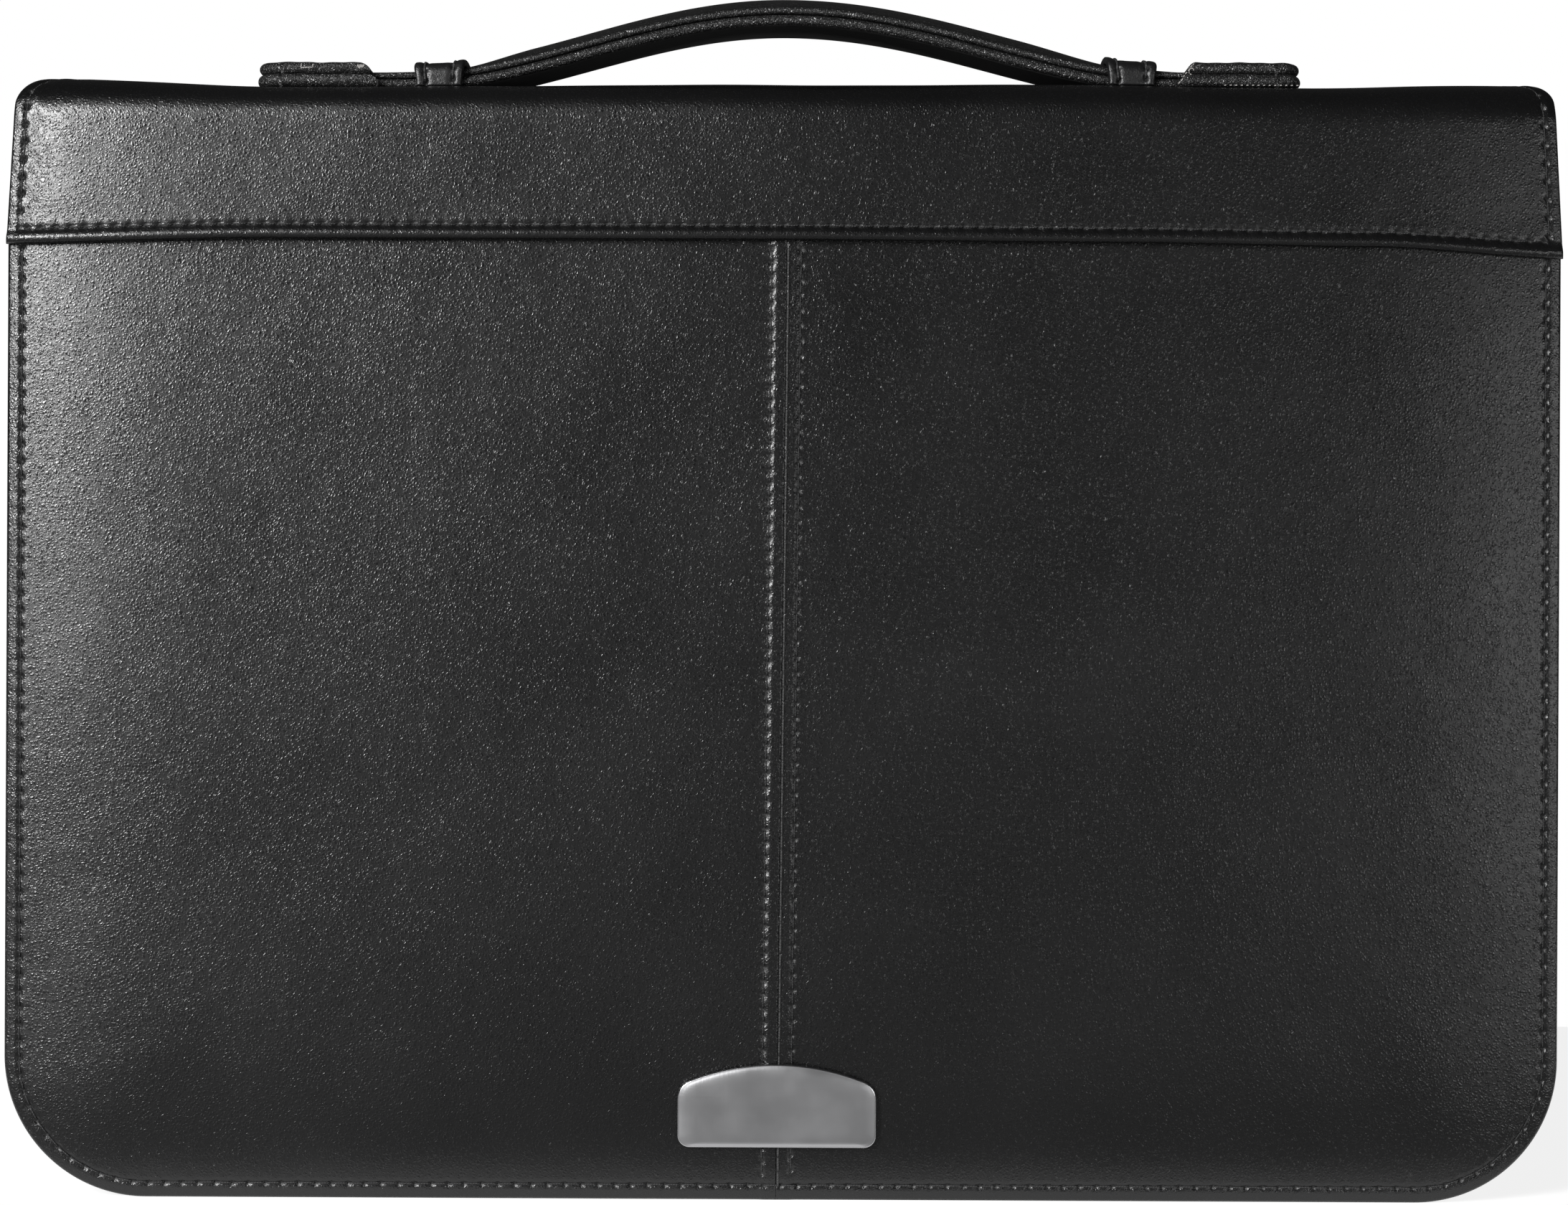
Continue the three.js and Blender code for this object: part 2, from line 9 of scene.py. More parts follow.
import bpy
import numpy as np
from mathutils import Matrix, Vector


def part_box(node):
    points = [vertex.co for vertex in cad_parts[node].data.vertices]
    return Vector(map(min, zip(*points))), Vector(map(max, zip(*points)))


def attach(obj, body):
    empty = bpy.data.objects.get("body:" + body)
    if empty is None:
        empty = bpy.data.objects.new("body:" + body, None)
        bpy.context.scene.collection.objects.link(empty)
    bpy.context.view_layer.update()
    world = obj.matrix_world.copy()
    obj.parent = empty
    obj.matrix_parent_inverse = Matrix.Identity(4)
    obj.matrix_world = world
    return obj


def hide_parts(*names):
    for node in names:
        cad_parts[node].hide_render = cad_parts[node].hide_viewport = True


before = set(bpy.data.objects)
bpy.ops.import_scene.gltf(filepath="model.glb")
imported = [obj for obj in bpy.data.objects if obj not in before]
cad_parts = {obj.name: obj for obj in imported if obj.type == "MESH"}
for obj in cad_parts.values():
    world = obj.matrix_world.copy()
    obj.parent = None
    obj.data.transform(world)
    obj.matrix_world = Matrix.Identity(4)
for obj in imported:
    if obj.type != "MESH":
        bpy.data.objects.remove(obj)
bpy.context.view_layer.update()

# The front cover is grained leather drawn over board, in two halves that are sewn together down the middle.
# The seam allowances are turned to either side and stitched down. The edge is turned in and stitched all
# round.


def box_mm(node):
    """The low and the high corner of a CAD node's box, in millimetres."""
    return 1000 * np.array(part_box(node))


panel_low, panel_high = box_mm("back_panel")
case_half = panel_high[0]
cover_top = panel_high[2]
crown_face = panel_high[1]
cover_inner = panel_low[1]
cover_thickness = 2.6
edge_face = cover_inner + cover_thickness
cover_crown = crown_face - edge_face
crown_reach = 60
corner_radius = 33
corner_centre = case_half - corner_radius
case_height = box_mm("spine_yoke")[1, 2]
yoke_drop = 37.4

edge_stitch_inset = 3.6
edge_stitch_pitch = 3.85
front_seed = 0.4
seam_bottom_x = -1.0
seam_top_x = 0.8
# Below zero, because the halves overlap a little under their rolled rims, so that no light shows through.
seam_gap = -0.3
# The distance from the seam, the pitch and the seed of the rows at its left (-1) and its right (1).
seam_rows = {-1: (3.4, 3.2, 3.1), 1: (3.3, 3.5, 2.2)}
seam_lip_pitch = 3.4
# Fine points along the edge for each cell of a sheet, and the cells along the parts of a cover's outline.
per_cell = 8
half_cells, corner_cells, side_cells = 40, 12, 54


def smooth(value, start, end):
    """Runs from 0 at start to 1 at end as 3t^2 - 2t^3, where t is how far along value is."""
    t = np.clip((value - start) / (end - start), 0, 1)
    return t * t * (3 - 2 * t)


def bell(value, width):
    """exp(-(value / width)^2), a bump of height 1."""
    return np.exp(-((value / width) ** 2))


def drift(number, seed):
    """A small steady variation in -1..1 for whole numbers: half the sum of two sines of unlike periods."""
    return 0.5 * np.sin(number * 2.399 + seed) + 0.5 * np.sin(number * 5.131 + 2.7 * seed)


def edge_place(x, z):
    """The distance in from the cover's outline, and the length along its stitch line.

    The length starts at the middle of the bottom. Round a corner the distance is radius - |p - centre|, and
    the length is the angle times the line's radius.
    """
    reach = np.abs(x)
    side = case_half - reach
    over = reach - corner_centre
    under = corner_radius - z
    turn = np.arctan2(over, under)
    line_radius = corner_radius - edge_stitch_inset
    in_corner = (over > 0) & (under > 0)
    inset = np.where(in_corner, corner_radius - np.hypot(over, under), np.minimum(side, z))
    up_side = corner_centre + line_radius * math.pi / 2 + z - corner_radius
    along = np.where(in_corner, corner_centre + line_radius * turn, np.where(side < z, up_side, reach))
    return inset, np.sign(x) * along


def edge_point(along, inset):
    """The x and z of a point at a length along the stitch line and a distance in: edge_place turned round."""
    reach = np.abs(along)
    line_radius = corner_radius - edge_stitch_inset
    turn = np.clip((reach - corner_centre) / line_radius, 0, math.pi / 2)
    arm = corner_radius - inset
    beyond = np.maximum(0, reach - corner_centre - line_radius * math.pi / 2)
    x = np.where(turn > 0, corner_centre + arm * np.sin(turn), reach)
    z = corner_radius - arm * np.cos(turn) + beyond
    return np.sign(along) * x, z


def cover_face(x, z):
    """How far out of the middle plane the cover stands: edge + crown * (1 - (1 - inset / reach)^3)."""
    inset = edge_place(x, z)[0]
    low = 1 - np.clip(inset / crown_reach, 0, 1)
    return edge_face + cover_crown * (1 - low ** 3)


def seam_x(z):
    """The seam leans: a straight line from its foot to the spine."""
    return seam_bottom_x + (seam_top_x - seam_bottom_x) * z / case_height


def hole_place(number, pitch, seed):
    """Where the needle went in: even steps with a little drift."""
    return number * pitch + 0.16 * drift(number, seed)


def row_slip(number, seed):
    """How far a needle hole lies beside its row."""
    return 0.1 * drift(number, seed + 1.7)


def stitch_relief(distance, along, pitch, seed, roll=0.3):
    """What a row of stitches does to leather, as a height and a darkness.

    distance is measured across the row, positive to the inside. The height is a groove, a dip of the shape
    exp(-(across / width)^2 - (beside / length)^2) at each needle hole, and soft bulges between the holes on
    both sides of the row. roll is a low ridge along its outside.
    """
    hole_width, hole_length, hole_depth = 0.44, 0.54, 0.75
    number = np.round(along / pitch)
    beside = along - hole_place(number, pitch, seed)
    slip = row_slip(number, seed)
    hole = np.exp(-(((distance - slip) / hole_width) ** 2 + (beside / hole_length) ** 2))
    between = 0.5 - 0.5 * np.cos(2 * math.pi * beside / pitch)
    groove = bell(distance, 0.5)
    outside = bell(distance + 1.35, 0.95)
    inside = bell(distance - 1.1, 0.8)
    bulge = between * (0.05 * outside + 0.04 * inside)
    # The darkness returned is the needle-hole mask; the leather's colour uses it for painted shade in the
    # holes, and its roughness too.
    return -0.12 * groove - hole_depth * hole + bulge + roll * outside * 0.35, hole


def waves(x, z, seed):
    """Slow hollows and swells in drawn leather, as a sum of four crossed sines."""
    return (
        0.1 * np.sin(x / 13.0 + 0.6 * np.sin(z / 17.0 + seed) + seed)
        + 0.08 * np.sin(z / 11.0 + 1.3 * np.sin(x / 29.0) + 2 * seed)
        + 0.06 * np.sin((x + z) / 7.3 + 3 * seed) * np.sin((x - z) / 19.0)
    )


def front_relief(x, z):
    """Height and darkness of the front cover at x and z, on top of its crown."""
    inset, along = edge_place(x, z)
    height, hole = stitch_relief(inset - edge_stitch_inset, along, edge_stitch_pitch, front_seed)
    side = x - seam_x(z)
    reach = np.abs(side)
    inside = smooth(inset, 4.2, 7)
    height = height + 0.75 * waves(x, z, 1.1) * smooth(inset, 3, 20) * smooth(reach, 3, 12)
    height = height + 0.34 * (1 - smooth(reach, 2.6, 4.6))
    right = side > 0
    row, pitch, seed = (np.where(right, seam_rows[1][k], seam_rows[-1][k]) for k in range(3))
    seam_height, seam_hole = stitch_relief(reach - row, z, pitch, seed, roll=0.1)
    ripple = 0.55 + 0.45 * np.cos(2 * math.pi * z / seam_lip_pitch)
    lip = np.where(right, 0.16 * bell(reach - 0.5, 0.35) * ripple, 0)
    height = height + (seam_height * 0.8 + lip) * np.where(reach < 7, inside, 0)
    hole = np.maximum(hole, np.where(reach < 7, seam_hole * inside, 0))
    return height, hole


def coons_field(loop, across, up):
    """A grid that fills a loop of four sides: ruled one way plus ruled the other, less the corners' blend."""
    bottom = loop[: across + 1]
    right = loop[across : across + up + 1]
    top = loop[across + up : 2 * across + up + 1][::-1]
    left = np.vstack([loop[2 * across + up :], loop[:1]])[::-1]
    u = np.linspace(0, 1, across + 1)[None, :, None]
    v = np.linspace(0, 1, up + 1)[:, None, None]
    ruled = (1 - v) * bottom[None] + v * top[None] + (1 - u) * left[:, None] + u * right[:, None]
    corners = (1 - v) * ((1 - u) * bottom[0] + u * bottom[-1]) + v * ((1 - u) * top[0] + u * top[-1])
    return (ruled - corners).reshape(-1, 2)


def band_quads(rows, columns, closed):
    """Quads between neighbouring rows of a grid. A closed grid's last column joins its first."""
    row = np.arange(rows - 1)[:, None] * columns
    here = np.arange(columns if closed else columns - 1)[None, :]
    there = (here + 1) % columns
    return np.stack([row + here, row + there, row + columns + there, row + columns + here], -1).reshape(-1, 4)


def fan_faces(loop, fine_start):
    """Triangles from each coarse cell's edge to the fine points that lie along it."""
    cells = len(loop)
    fine = fine_start + np.arange(cells * per_cell + 1)
    fine[-1] = fine_start
    half = per_cell // 2
    step = np.arange(cells)[:, None] * per_cell
    near = step + np.arange(half)[None]
    far = step + np.arange(half, per_cell)[None]
    here = np.repeat(loop[:, None], half, 1)
    there = np.repeat(np.roll(loop, -1)[:, None], per_cell - half, 1)
    first = np.stack([here, fine[near], fine[near + 1]], -1).reshape(-1, 3)
    last = np.stack([there, fine[far], fine[far + 1]], -1).reshape(-1, 3)
    middle = np.stack([loop, fine[step[:, 0] + half], np.roll(loop, -1)], -1)
    return np.vstack([first, last, middle])


def running_sum(steps):
    """0, and then the sum of the steps so far."""
    return np.concatenate([[0], np.cumsum(steps)])


def finish_piece(name, points, blocks, material, slot, replaced=(), attributes=None):
    """Makes the mesh in metres with its faces outwards, and ties the piece to the case.

    The volume is the sum of a . (b x c) / 6 over the triangles. If it is below zero, every face is turned.
    """
    volume = 0
    for block in blocks:
        for k in range(1, block.shape[1] - 1):
            a, b, c = points[block[:, 0]], points[block[:, k]], points[block[:, k + 1]]
            volume = volume + np.einsum("ij,ij->i", a, np.cross(b, c)).sum() / 6
    if volume < 0:
        blocks = [block[:, ::-1] for block in blocks]
    totals = np.concatenate([np.full(len(block), block.shape[1]) for block in blocks])
    mesh = bpy.data.meshes.new(name)
    mesh.vertices.add(len(points))
    mesh.vertices.foreach_set("co", (points * 0.001).astype(np.float32).ravel())
    mesh.loops.add(int(totals.sum()))
    corners = np.concatenate([block.ravel() for block in blocks])
    mesh.loops.foreach_set("vertex_index", corners.astype(np.int32))
    mesh.polygons.add(len(totals))
    mesh.polygons.foreach_set("loop_start", running_sum(totals[:-1]).astype(np.int32))
    mesh.polygons.foreach_set("use_smooth", np.ones(len(totals), bool))
    mesh.update(calc_edges=True)
    for key, values in (attributes or {}).items():
        carried = mesh.attributes.new(key, "FLOAT", "POINT")
        carried.data.foreach_set("value", values.astype(np.float32).ravel())
    piece = bpy.data.objects.new(name, mesh)
    bpy.context.collection.objects.link(piece)
    piece.data.materials.append(material)
    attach(piece, "root")
    if replaced:
        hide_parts(*replaced)


def leather_sheet(name, outline, across, up, rim, thickness, relief, place, band=7.0, **piece):
    """A closed sheet of leather with a fine edge band and a coarse field.

    outline(inset) gives the closed line at an inset from the edge. Lines run from the band's width in to the
    rim, where they go round a half circle of radius rim to the inner face. place(xy, height) puts the sheet's
    own plane into space.
    """
    total = 2 * (across + up) * per_cell
    rim = rim * np.ones(total)
    loop_2d = outline(np.full(total, band + 1))[::per_cell]
    field = coons_field(loop_2d, across, up)
    lines = [(band - (band - rim) * share, np.zeros(total)) for share in np.linspace(0, 1, round(2.2 * band))]
    for turn in np.linspace(0, math.pi, 11)[1:]:
        depth = rim * (1 - math.cos(turn)) + (thickness - 2 * rim) * (turn > math.pi / 2)
        lines.append((rim * (1 - math.sin(turn)), depth))
    ring_2d = np.vstack([outline(inset) for inset, depth in lines])
    ring_depth = np.concatenate([depth for inset, depth in lines])
    face_height, face_dark = relief(field[:, 0], field[:, 1])
    ring_height, ring_dark = relief(ring_2d[:, 0], ring_2d[:, 1])
    outward = ring_height * (1 - smooth(ring_depth, 0, thickness * 0.75)) - ring_depth
    flat = np.concatenate([field, ring_2d, field])
    height = np.concatenate([face_height, outward, np.full(len(field), -thickness)])
    # The hole attribute marks the needle holes; the leather material darkens them there as painted shade and
    # makes them rougher.
    darkness = np.concatenate([face_dark, ring_dark * (ring_depth < 0.2), np.zeros(len(field))])
    points = place(flat, height)
    row = np.arange(up + 1) * (across + 1)
    loop = np.concatenate(
        [np.arange(across), row[:-1] + across, row[-1] + np.arange(across, 0, -1), row[:0:-1]]
    )
    count = len(field)
    grid = band_quads(up + 1, across + 1, closed=False)
    rings = band_quads(len(lines), total, closed=True) + count
    inner = count + len(ring_2d)
    outer_fan = fan_faces(loop, count)
    inner_fan = fan_faces(loop + inner, inner - total)
    blocks = [grid, rings[:, ::-1], grid[:, ::-1] + inner, outer_fan, inner_fan[:, ::-1]]
    finish_piece(name, points, blocks, attributes={"hole": darkness}, **piece)


def outline_parts(inset, cells):
    """The insets along each side of a closed outline, and each point's share of its side, from 0."""
    parts = np.split(inset, np.cumsum(np.array(cells[:-1]) * per_cell))
    return parts, [np.arange(len(part)) / len(part) for part in parts]


def corner_arc(share, inset):
    """A cover's lower right corner: centre + (radius - inset) * (sine, -cosine) of a share of 90 degrees."""
    turn, arm = share * math.pi / 2, corner_radius - inset
    return np.stack([corner_centre + arm * np.sin(turn), corner_radius - arm * np.cos(turn)], 1)


def half_outline(sign):
    """The outline of half of the front: bottom, corner, side, top and seam. sign is 1 for the right half."""

    def outline(inset):
        cells = (half_cells, corner_cells, side_cells, half_cells, corner_cells + side_cells)
        parts, share = outline_parts(inset, cells)
        foot = sign * seam_x(parts[0]) + seam_gap / 2 + parts[0]
        bottom = np.stack([foot + (corner_centre - foot) * share[0], parts[0]], 1)
        high = cover_top - parts[2]
        edge = np.stack([case_half - parts[2], corner_radius + (high - corner_radius) * share[2]], 1)
        inner = sign * seam_x(cover_top - parts[3]) + seam_gap / 2 + parts[3]
        outer = case_half - parts[3]
        top = np.stack([outer + (inner - outer) * share[3], cover_top - parts[3]], 1)
        z = cover_top - parts[4] + (2 * parts[4] - cover_top) * share[4]
        seam = np.stack([sign * seam_x(z) + seam_gap / 2 + parts[4], z], 1)
        return np.vstack([bottom, corner_arc(share[1], parts[1]), edge, top, seam]) * np.array([sign, 1])

    return outline


def front_place(flat, height):
    """y is the crown and the height, to the front. x is 0.28% more, and 1.6% less under the yoke."""
    x, z = flat[:, 0], flat[:, 1]
    width = 1.0028 - 0.016 * smooth(z, case_height - yoke_drop + 2, case_height - yoke_drop + 14)
    return np.stack([width * x, -(cover_face(x, z) + height), z], 1)


class Nodes:
    """Short hands for filling a node tree. Each one makes a node and gives one of its outputs."""

    def __init__(self, owner):
        owner.use_nodes = True
        self.tree = owner.node_tree
        self.tree.nodes.clear()

    def add(self, kind, inputs, output=0, **settings):
        """A node of a kind. Its inputs are sockets to join or values to set."""
        made = self.tree.nodes.new("ShaderNode" + kind)
        for key, value in settings.items():
            setattr(made, key, value)
        for key, value in inputs.items():
            if isinstance(value, bpy.types.NodeSocket):
                self.tree.links.new(value, made.inputs[key])
            else:
                made.inputs[key].default_value = value
        return made.outputs[output] if len(made.outputs) else None

    def place(self):
        """Object coordinates, in metres."""
        return self.add("TexCoord", {}, "Object")

    def attribute(self, name):
        """A number that the mesh carries at each point."""
        return self.add("Attribute", {}, "Fac", attribute_name=name)

    def maths(self, operation, *values):
        """A number worked out from others."""
        return self.add("Math", dict(enumerate(values)), operation=operation)

    def scaled(self, vector, scale):
        """A vector or colour times a number."""
        return self.add("VectorMath", {0: vector, "Scale": scale}, operation="SCALE")

    def spread(self, value, low, high, start=0.0, end=1.0, steps="LINEAR"):
        """Carries start..end on to low..high."""
        inputs = {"Value": value, "From Min": start, "From Max": end, "To Min": low, "To Max": high}
        return self.add("MapRange", inputs, interpolation_type=steps)

    def noise(self, place, scale, detail, output="Fac"):
        """A noise with scale cells to a metre."""
        return self.add("TexNoise", {"Vector": place, "Scale": scale, "Detail": detail}, output)

    def bump(self, height, distance, strength=1.0, **below):
        """Relief from a height, laid over the relief below it."""
        return self.add("Bump", {"Height": height, "Distance": distance, "Strength": strength, **below})

    def surface(self, colour, roughness, normal, **more):
        """A Principled surface on the output."""
        inputs = {"Base Color": colour, "Roughness": roughness, "Normal": normal}
        inputs.update({key.replace("_", " "): value for key, value in more.items()})
        self.add("OutputMaterial", {"Surface": self.add("BsdfPrincipled", inputs)})


def grained_leather(name, dark, light, roughness, grain_size, grain_depth, seed):
    """Smooth leather with a pressed pebble grain.

    Height is made of pebbles (cells that a noise has bent, round on top, with creases between), of fine
    pores, and of slow swells. Creases and needle holes are rougher than the tops, and their colour is
    darker: painted shade in those hollows.
    """
    material = bpy.data.materials.new(name)
    nodes = Nodes(material)
    place = nodes.add("Mapping", {"Vector": nodes.place(), "Location": (seed, 2 * seed, -seed)})
    bend = nodes.noise(place, 0.8 / grain_size, 2.0, "Color")
    bend = nodes.add("VectorMath", {0: bend, 1: (0.5, 0.5, 0.5)}, operation="SUBTRACT")
    bent = nodes.add("VectorMath", {0: place, 1: nodes.scaled(bend, 1.5 * grain_size)})
    cell = {"Vector": bent, "Scale": 1 / grain_size}
    pebble = nodes.add("TexVoronoi", cell, "Distance", feature="DISTANCE_TO_EDGE")
    pebble = nodes.spread(pebble, 0.0, 1.0, 0.0, 0.5, steps="SMOOTHSTEP")
    pores = nodes.noise(place, 3.2 / grain_size, 1.0)
    swell = nodes.noise(place, 70.0, 3.0)
    fade = nodes.noise(place, 24.0, 2.0)
    hole = nodes.attribute("hole")
    relief = nodes.bump(swell, 0.00022)
    relief = nodes.bump(pores, 0.2 * grain_depth, 0.5, Normal=relief)
    relief = nodes.bump(pebble, grain_depth, Normal=relief)
    colour_a, colour_b, colour_out = 6, 7, 2
    tone = nodes.add("Mix", {"Factor": fade, colour_a: dark, colour_b: light}, colour_out, data_type="RGBA")
    # The colour is darkened in the grain's creases and, almost to black, in the needle holes: painted shade.
    painted_hole_shade = nodes.spread(hole, 1.0, 0.02, 0.0, 0.6)
    shade = nodes.maths("MULTIPLY", nodes.spread(pebble, 0.45, 1.0), painted_hole_shade)
    crease = nodes.spread(pebble, roughness + 0.14, roughness)
    rough = nodes.maths("ADD", crease, nodes.spread(fade, -0.05, 0.05))
    rough = nodes.maths("MULTIPLY_ADD", hole, 0.5, rough)
    nodes.surface(nodes.scaled(tone, shade), rough, relief)
    return material


cover_leather = grained_leather(
    "cover_leather", (0.004, 0.004, 0.0043, 1), (0.007, 0.007, 0.0073, 1), 0.17, 0.00075, 0.000045, 0.013
)
panel_up = corner_cells + side_cells
panel_place = np.arange(2 * (half_cells + panel_up) * per_cell) / per_cell
seam_start = 2 * half_cells + panel_up
near_seam = smooth(np.abs(panel_place - seam_start - panel_up / 2), panel_up / 2 + 3, panel_up / 2 - 1)
front_rim = 0.75 - 0.25 * near_seam
for side_name, side_sign in (("left", -1), ("right", 1)):
    leather_sheet(
        f"front_cover_{side_name}", half_outline(side_sign), half_cells, panel_up, front_rim,
        cover_thickness, front_relief, front_place, material=cover_leather, slot="cover_leather",
        replaced=[f"front_panel_{side_name}"]
    )


def threads(name, starts, ends, outward, material, slot, radius=0.17, rise=0.1, sink=0.7, **piece):
    """One piece of thread for each pair of needle holes, as rings of points.

    The middle line runs straight from start to end, with t from 0 to 1. It is lifted by
    rise * (1 - (2t - 1)^6) - sink * (2t - 1)^6, so both ends go down into the leather.
    """
    rings, ring_points = 8, 6
    each = rings * ring_points
    t = np.linspace(0, 1, rings)[None, :, None]
    far = (2 * t - 1) ** 6
    run = ends - starts
    side = np.cross(outward, run)
    side = side / np.linalg.norm(side, axis=1, keepdims=True)
    line = starts[:, None] + run[:, None] * t + outward[:, None] * (rise * (1 - far) - sink * far)
    turn = np.arange(ring_points) * 2 * math.pi / ring_points
    thick = radius * (1 - 0.2 * far[..., None])
    ring = side[:, None, None] * np.cos(turn)[None, None, :, None]
    ring = ring + outward[:, None, None] * np.sin(turn)[None, None, :, None]
    points = (line[:, :, None] + thick * ring).reshape(-1, 3)
    count = len(starts)
    one = band_quads(rings, ring_points, closed=True)
    shift = np.arange(count)[:, None, None] * each
    sides = (one[None] + shift).reshape(-1, 4)
    near = (np.arange(ring_points)[None] + shift[:, :, 0])[:, ::-1]
    far_cap = np.arange(each - ring_points, each)[None] + shift[:, :, 0]
    length = np.linalg.norm(run, axis=1)[:, None, None]
    along = np.broadcast_to(length * t[:, :, 0][..., None], (count, rings, ring_points))
    around = np.broadcast_to(turn[None, None] / (2 * math.pi), (count, rings, ring_points))
    finish_piece(
        name, points, [sides, near, far_cap], material, slot,
        attributes={"along": along, "around": around}, **piece
    )


def row_of_threads(place, relief, first, last, pitch, seed, to_sheet):
    """Starts, ends and outward directions of a row, in space.

    Holes are where hole_place says. Each thread lies at the height of the groove half way between two holes.
    """
    number = np.arange(first, last + 1)
    hole = hole_place(number, pitch, seed)
    slip = row_slip(number, seed)
    flat = to_sheet(hole, slip)
    middle = to_sheet((hole[:-1] + hole[1:]) / 2, (slip[:-1] + slip[1:]) / 2)
    height = relief(middle[:, 0], middle[:, 1])[0]
    starts = place(flat[:-1], height)
    ends = place(flat[1:], height)
    outward = place(middle, height + 1) - place(middle, height)
    return starts, ends, outward


def joined(rows):
    """Several rows of threads as one set of arrays."""
    return [np.vstack(part) for part in zip(*rows)]


def waxed_thread(name, colour):
    """Waxed thread. Its twist is the sine of 1.6 turns to a millimetre along it and one turn round it."""
    material = bpy.data.materials.new(name)
    nodes = Nodes(material)
    turns = nodes.maths("MULTIPLY_ADD", nodes.attribute("along"), 1.6, nodes.attribute("around"))
    ridge = nodes.maths("SINE", nodes.maths("MULTIPLY", turns, 2 * math.pi))
    wax = nodes.noise(nodes.place(), 1500.0, 2.0)
    strands = nodes.bump(ridge, 0.00006, 0.8)
    fuzz = nodes.bump(wax, 0.00004, 0.6, Normal=strands)
    nodes.surface(colour, nodes.spread(wax, 0.5, 0.8), fuzz, Specular_IOR_Level=0.6)
    return material


def edge_sheet(hole, slip):
    """A hole's length along the cover's stitch line, as x and z."""
    return np.stack(edge_point(hole, edge_stitch_inset + slip), 1)


edge_stitch_rise = 190
cover_thread = waxed_thread("cover_thread", (0.014, 0.014, 0.0145, 1))
front_rows = []
for row_side, (row_reach, row_pitch, row_seed) in seam_rows.items():

    def seam_sheet(hole, slip, side=row_side, reach=row_reach):
        """A hole's height above the floor, as x and z beside the seam."""
        return np.stack([seam_x(hole) + side * (reach + slip), hole], 1)

    first_hole = math.ceil(5.5 / row_pitch)
    last_hole = math.floor((case_height - 39) / row_pitch)
    front_rows.append(
        row_of_threads(front_place, front_relief, first_hole, last_hole, row_pitch, row_seed, seam_sheet)
    )
edge_length = corner_centre + (corner_radius - edge_stitch_inset) * math.pi / 2 + edge_stitch_rise
edge_last = math.floor(edge_length / edge_stitch_pitch)
edge_row = row_of_threads(
    front_place, front_relief, -edge_last, edge_last, edge_stitch_pitch, front_seed, edge_sheet
)
threads("front_stitches", *joined([edge_row, *front_rows]), cover_thread, "cover_leather")

seam_lip_reach = 0.42


def seam_lip_sheet(hole, slip):
    """The lip of the right-hand half, close beside the seam."""
    return np.stack([seam_x(hole) + seam_lip_reach + 0.5 * slip, hole], 1)


lip_count = math.floor((case_height - 38) / seam_lip_pitch)
lip = row_of_threads(front_place, front_relief, 1, lip_count, seam_lip_pitch, 8.8, seam_lip_sheet)
seam_polish = waxed_thread("seam_polish", (0.03, 0.03, 0.03, 1))
threads("seam_lip", *lip, seam_polish, "cover_leather", radius=0.26, rise=0.16, sink=0.2)

# The back cover is one plain piece of the same leather over board, with the same turned and stitched edge.
# The photograph hides it.

back_seed = 6.1
back_rim = 1.25


def back_relief(x, z):
    """Height and darkness of the back cover: the edge stitches and slow waves."""
    inset, along = edge_place(x, z)
    height, hole = stitch_relief(inset - edge_stitch_inset, along, edge_stitch_pitch, back_seed)
    return height + 0.7 * waves(x, z, 4.3) * smooth(inset, 3, 20), hole


def back_place(flat, height):
    """The same as front_place, towards the back."""
    return front_place(flat, height) * np.array([1, -1, 1])


def back_outline(inset):
    """The outline of the whole back: bottom, right corner and side, top, left side and corner."""
    cells = (2 * half_cells, corner_cells, side_cells, 2 * half_cells, side_cells, corner_cells)
    parts, share = outline_parts(inset, cells)
    bottom = np.stack([corner_centre * (2 * share[0] - 1), parts[0]], 1)
    high = cover_top - parts[2]
    right = np.stack([case_half - parts[2], corner_radius + (high - corner_radius) * share[2]], 1)
    top = np.stack([(case_half - parts[3]) * (1 - 2 * share[3]), cover_top - parts[3]], 1)
    high = cover_top - parts[4]
    left = np.stack([parts[4] - case_half, high + (corner_radius - high) * share[4]], 1)
    left_corner = corner_arc(1 - share[5], parts[5]) * np.array([-1, 1])
    return np.vstack([bottom, corner_arc(share[1], parts[1]), right, top, left, left_corner])


leather_sheet(
    "back_cover", back_outline, 2 * half_cells, corner_cells + side_cells, back_rim, cover_thickness,
    back_relief, back_place, material=cover_leather, slot="cover_leather", replaced=["back_panel"]
)
back_row = row_of_threads(
    back_place, back_relief, -edge_last, edge_last, edge_stitch_pitch, back_seed, edge_sheet
)
threads("back_stitches", *back_row, cover_thread, "cover_leather")

# The yoke is one strip of the same leather. Its hem is folded under and stitched across the front. The strip
# runs over the spine to the back, where it ends in the same way. Its short ends are stitched too.

yoke_half = box_mm("spine_yoke")[1, 0]
yoke_thickness = 1.8
# Pieces that lie on one another stand this far apart.
seat_gap = 0.3
yoke_over = seat_gap + yoke_thickness
yoke_taper = 2.2
shoulder_radius = 7
spine_radius = 9
spine_arc = spine_radius * math.pi / 2
face_length = yoke_drop - spine_radius
flat_length = 2 * (crown_face + yoke_over - spine_radius)
yoke_length = 2 * (face_length + spine_arc) + flat_length
hem_extra = 0.8
hem_stitch_inset = 3.3
hem_stitch_pitch = 3.45
hem_seed = 4.4
end_stitch_inset = 3.1
end_stitch_shift = 7
end_seed = 5.2
yoke_cells = (90, 44)
strip_rim = 0.6


def eased(share, shares, values):
    """The value of a short table at a share, run from row to row as 3t^2 - 2t^3."""
    step = np.clip(np.searchsorted(shares, share), 1, len(shares) - 1)
    shares, values = np.array(shares), np.array(values)
    t = smooth(share, shares[step - 1], shares[step])
    return values[step - 1] + (values[step] - values[step - 1]) * t


def spine_dip(x):
    """How far the top of the spine sinks at x."""
    return 1.5 * eased(x / case_half, [-1, -0.66, 0, 0.3, 0.69, 1], [-0.35, 0.9, 0.3, 0, 0.4, -0.35])


